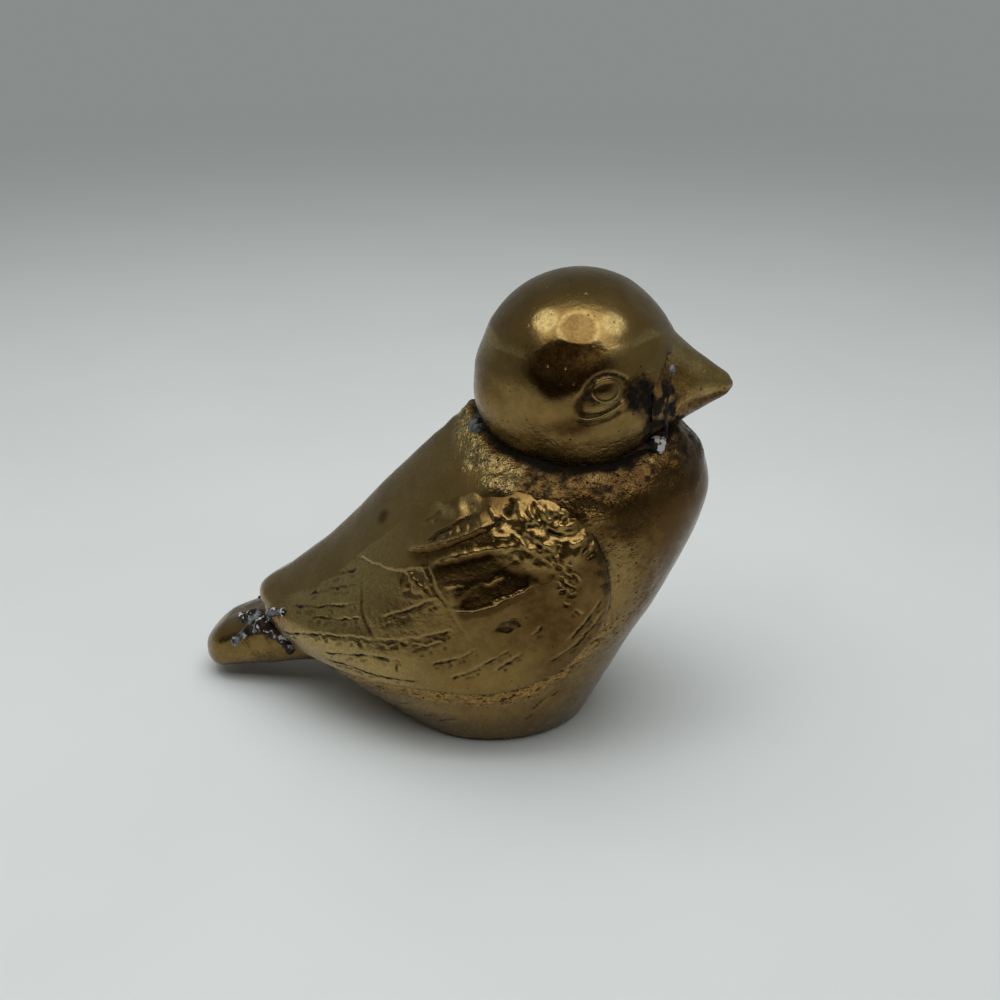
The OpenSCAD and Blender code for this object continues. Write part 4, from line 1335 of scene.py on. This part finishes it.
def neck_solder_piece():
    """Solder in the crease round the neck, blackened as painted shade of the crease and sooty, but for a
    bead at the nape and flakes at the throat.
    """
    path = neck_path()
    bearing = np.degrees(np.arctan2(path[:, 1], path[:, 0] - HEAD_AT[0]))
    nape = hump(gap_of(bearing, NAPE_BEAD_TURN), 4.5)
    throat = hump(gap_of(bearing, THROAT_BEAD_TURN), 6)
    path = path + nape[:, None] * (-2.8, -0.7, -2.5) + throat[:, None] * (0.7, -0.4, -0.9)
    radius = 0.4 + 0.6 * nape + 1.3 * throat
    lumps = [(0.35, 1.5, 61), (0.3, 0.8, 62)]
    # Dark all round but at the beads: soot, and painted shade in the crease under the head
    dirt = 0.95 - 0.5 * nape - 0.1 * throat
    add_fillet("neck_solder", path, radius, lumps, dirt, np.maximum(throat, 0.75 * nape))


def beak_solder_piece():
    """Solder round the root of the beak, sooty but for a grey bead on the right."""
    spin = np.arange(BEAK_SIDES) * 360 / BEAK_SIDES
    depth = np.sqrt(HEAD_R**2 - BEAK_ROOT_R**2)
    low = smooth(sin(spin), 0.75, 0.1)
    wide = BEAK_ROOT_R + 1.2 * low
    path = np.stack([np.full_like(spin, depth), wide * cos(spin), wide * sin(spin) - BEAK_DROP], -1)
    bead = hump(gap_of(spin, BEAK_BEAD_TURN), 6)
    path = HEAD_AT + unit(path) * (HEAD_R + mix(-0.6, -0.1, np.maximum(low, bead))[:, None])
    lumps = [(0.45, 1.2, 63), (0.2, 0.6, 67)]
    flakes = np.full_like(spin, 0.62)
    add_fillet("beak_solder", path, 0.35 + 0.3 * low + 0.35 * bead, lumps, 0.9 - 0.5 * bead, flakes)


# Runs of solder on the right of the tail: from and to as (place behind the foot, turn about the tail), size
TAIL_RUNS = [
    ((-45.5, 55), (-49.4, 74), 1.9),
    ((-45.4, 42), (-50.0, 12), 1.35),
    ((-45.0, 45), (-38.0, -8), 1.8),
]
# The other side is out of sight and gets shorter runs
FAR_RUNS = [
    ((-45.5, 50), (-48.0, 58), 1.2),
    ((-45.8, 45), (-49.0, 20), 1.1),
    ((-45.2, 42), (-40.8, 10), 1.3),
]
# Beads on the wing tip: place along the wing, place up it, size
WING_BEADS = [
    (0.975, 0.6, 0.5), (0.955, 0.78, 1.1), (0.935, 0.8, 0.95), (0.915, 0.8, 0.75), (0.895, 0.78, 0.9)]
RUN_BEADS = 10
BALL_RINGS = 11
BALL_SPOKES = 20
VOXEL = 0.2


def wing_spot(u, v, lift):
    place = wing_place(np.array(u), np.array(v))
    turn = flank_turn(place[..., 0], place[..., 1])
    return skin(place[..., 1], turn) + lift * skin_normal(place[..., 1], turn)


def tail_beads(runs, seed):
    """Middles and radii of the lumps of solder at the left of the tail."""
    rng = np.random.default_rng(seed)
    lumps = []
    for start, end, size in runs:
        for share in np.linspace(0, 1, RUN_BEADS):
            x, turn = mix(np.array(start), np.array(end), share)
            at = tail_point(x, turn, -0.4) + rng.normal(0, 0.15, 3)
            lumps.append((at, size * mix(1.05, 0.6, share) * rng.uniform(0.85, 1.1)))
    bridge = tail_point(-45.4, 58.0, 0.1)
    for share in np.linspace(0, 0.8, 4):
        lumps.append((mix(bridge, wing_spot(0.975, 0.6, 0.5), share), 0.55))
    for u, v, size in WING_BEADS:
        lumps.append((wing_spot(u, v, 0.7), size))
    return lumps


def ball_mesh(lumps):
    """Balls as one list of points and faces."""
    tilt = np.linspace(0, 180, BALL_RINGS + 2)[1:-1, None]
    spin = (np.arange(BALL_SPOKES) * 360 / BALL_SPOKES)[None, :]
    way = np.stack(np.broadcast_arrays(sin(tilt) * cos(spin), sin(tilt) * sin(spin), cos(tilt)), -1)
    way = np.concatenate([way.reshape(-1, 3), [(0, 0, 1), (0, 0, -1)]])
    count = BALL_RINGS * BALL_SPOKES
    points, faces = [], []
    for at, size in lumps:
        start = len(points) * len(way)
        points.append(at + size * way)
        faces += grid_faces(BALL_RINGS, BALL_SPOKES, wrap=True, start=start)
        faces += flipped(fan_faces(start + count, start, BALL_SPOKES))
        faces += fan_faces(start + count + 1, start + count - BALL_SPOKES, BALL_SPOKES)
    return np.concatenate(points), faces


def fused(points, faces):
    """One skin round overlapping balls, as points and faces."""
    mesh = bpy.data.meshes.new("lumps")
    mesh.from_pydata(points.tolist(), [], faces)
    lumps = bpy.data.objects.new("lumps", mesh)
    bpy.context.scene.collection.objects.link(lumps)
    remesh = lumps.modifiers.new("fuse", "REMESH")
    remesh.mode = "VOXEL"
    remesh.voxel_size = VOXEL
    soften = lumps.modifiers.new("soften", "SMOOTH")
    soften.iterations = 3
    result = lumps.evaluated_get(bpy.context.evaluated_depsgraph_get()).to_mesh()
    points = np.array([v.co for v in result.vertices])
    normals = np.array([v.normal for v in result.vertices])
    faces = [list(p.vertices) for p in result.polygons]
    bpy.data.objects.remove(lumps)
    bpy.data.meshes.remove(mesh)
    return points, normals, faces


def tail_solder_piece(name, side):
    """Solder at the root of the tail and on one wing tip."""
    runs = TAIL_RUNS if side < 0 else FAR_RUNS
    points, normals, faces = fused(*ball_mesh(tail_beads(runs, 7)))
    points = points + normals * (0.16 * noise(points, 1.1, 64) + 0.1 * noise(points, 0.6, 65))[:, None]
    if side < 0:
        points, faces = mirrored(points, faces)
    dirt = 0.85 + 0.55 * noise(points, 1.3, 66)
    finish = finish_of(dirt.shape, dirt, 0.5, 0.7)
    add_piece(name, name, points, faces, finish, SOLDER_LOOK)


body_piece()
head_piece()
beak_piece()
wing_piece("right_wing", -1)
wing_piece("left_wing", 1)
tail_piece()
neck_solder_piece()
beak_solder_piece()
tail_solder_piece("right_tail_solder", -1)
tail_solder_piece("left_tail_solder", 1)


# Studio


FLOOR_R = 2.4
FLOOR_SIDES = 96
FLOOR_COLOUR = (0.68, 0.72, 0.715, 1)
FRONT_ROOM = (0.018, 0.008, 0.003, 1)
FRONT_WAY = (-0.15, -0.95, 0.27)
ROOM = (0.38, 0.38, 0.365, 1)
CEILING = (0.11, 0.105, 0.1, 1)
BACKDROP = (0.25, 0.268, 0.262, 1)


def shown_rays(tree):
    """1 for rays that meet the plain background: from the camera, or off metal."""
    rays = add_node(tree, "ShaderNodeLightPath").outputs
    shown = calc(tree, "MAXIMUM", rays["Is Camera Ray"], rays["Is Glossy Ray"])
    return calc(tree, "MAXIMUM", shown, rays["Is Transmission Ray"])


def floor_material():
    """A pale floor that keeps its shadows and runs out into the backdrop far from the bird."""
    material, tree = new_tree("pale_floor")
    coords = add_node(tree, "ShaderNodeTexCoord").outputs["Object"]
    shade = ramp(tree, cloud(tree, coords, 60, 3, 0.5), 0.3, 0.7)
    darker = tuple(0.97 * c for c in FLOOR_COLOUR[:3]) + (1,)
    colour = blend_colour(tree, shade, FLOOR_COLOUR, darker)
    shader = add_node(tree, "ShaderNodeBsdfPrincipled", {"Base Color": colour, "Roughness": 0.6})
    away = add_node(tree, "ShaderNodeVectorMath", {0: coords}, operation="LENGTH").outputs["Value"]
    far = calc(tree, "MULTIPLY", ramp(tree, away, 0.05, 0.85), shown_rays(tree))
    glow = add_node(tree, "ShaderNodeEmission", {"Color": BACKDROP})
    both = add_node(tree, "ShaderNodeMixShader", {0: far, 1: shader.outputs[0], 2: glow.outputs[0]})
    add_node(tree, "ShaderNodeOutputMaterial", {"Surface": both.outputs[0]})
    return material


def add_floor():
    """A pale round floor."""
    radius = FLOOR_R * np.array([0.05, 0.1, 0.2, 0.4, 0.7, 1.0])[:, None]
    spin = (np.arange(FLOOR_SIDES) * 360 / FLOOR_SIDES)[None, :]
    grid = np.stack(np.broadcast_arrays(radius * cos(spin), radius * sin(spin), 0 * radius), -1)
    points = np.concatenate([grid.reshape(-1, 3), [(0, 0, 0)]])
    faces = flipped(grid_faces(len(radius), FLOOR_SIDES, wrap=True))
    faces += fan_faces(len(points) - 1, 0, FLOOR_SIDES)
    mesh = bpy.data.meshes.new("floor")
    mesh.from_pydata(points.tolist(), [], faces)
    mesh.materials.append(floor_material())
    floor = bpy.data.objects.new("floor", mesh)
    bpy.context.scene.collection.objects.link(floor)


def add_softbox(name, at, aim, size, power):
    """A rectangular soft lamp that points at a place, in metres."""
    lamp = bpy.data.lights.new(name, "AREA")
    lamp.shape = "RECTANGLE"
    lamp.size, lamp.size_y = size
    lamp.energy = power
    holder = bpy.data.objects.new(name, lamp)
    holder.location = at
    holder.rotation_euler = (Vector(aim) - Vector(at)).to_track_quat("-Z", "Y").to_euler()
    bpy.context.scene.collection.objects.link(holder)
    return holder


def add_world():
    """A room that is dark only in front, where only the camera still sees the plain backdrop."""
    world = bpy.data.worlds.new("room")
    world.use_nodes = True
    tree = world.node_tree
    tree.nodes.clear()
    way = add_node(tree, "ShaderNodeTexCoord").outputs["Generated"]
    height = add_node(tree, "ShaderNodeSeparateXYZ", {0: way}).outputs[2]
    facing = add_node(tree, "ShaderNodeVectorMath", {0: way, 1: FRONT_WAY}, operation="DOT_PRODUCT")
    front = facing.outputs["Value"]
    wall = blend_colour(tree, ramp(tree, height, 0.5, 0.8), ROOM, CEILING)
    room = blend_colour(tree, shown_rays(tree), wall, BACKDROP)
    seen = add_node(tree, "ShaderNodeLightPath").outputs["Is Camera Ray"]
    dark = calc(tree, "MULTIPLY", ramp(tree, front, 0.45, 0.8), calc(tree, "SUBTRACT", 1.0, seen))
    light = add_node(tree, "ShaderNodeBackground", {"Color": blend_colour(tree, dark, room, FRONT_ROOM)})
    add_node(tree, "ShaderNodeOutputWorld", {"Surface": light.outputs[0]})
    bpy.context.scene.world = world


CAMERA_TURN = 9
CAMERA_RISE = 25
CAMERA_DISTANCE = 0.243
CAMERA_AIM = (0.0095, 0, 0.041)
CAMERA_ANGLE = 42


def add_camera():
    """The camera for a square picture, at the photograph's viewing angle."""
    data = bpy.data.cameras.new("camera")
    data.sensor_width = 36
    data.lens = data.sensor_width / 2 / np.tan(np.radians(CAMERA_ANGLE / 2))
    data.clip_start = 0.01
    camera = bpy.data.objects.new("camera", data)
    back = Vector((
        sin(CAMERA_TURN) * cos(CAMERA_RISE), -cos(CAMERA_TURN) * cos(CAMERA_RISE), sin(CAMERA_RISE)))
    camera.location = Vector(CAMERA_AIM) + CAMERA_DISTANCE * back
    camera.rotation_euler = back.to_track_quat("Z", "Y").to_euler()
    bpy.context.scene.collection.objects.link(camera)
    bpy.context.scene.camera = camera


add_floor()
add_softbox("gleam", (0.0, -0.2, 0.62), (0.0, -0.02, 0), (0.95, 0.42), 2.4)
overhead = add_softbox("overhead", (-0.03, 0.1, 0.62), (0, 0, 0), (0.7, 0.5), 2.1)
overhead.visible_glossy = False
add_world()
add_camera()
bpy.context.scene.view_settings.view_transform = "Standard"

bpy.context.view_layer.update()
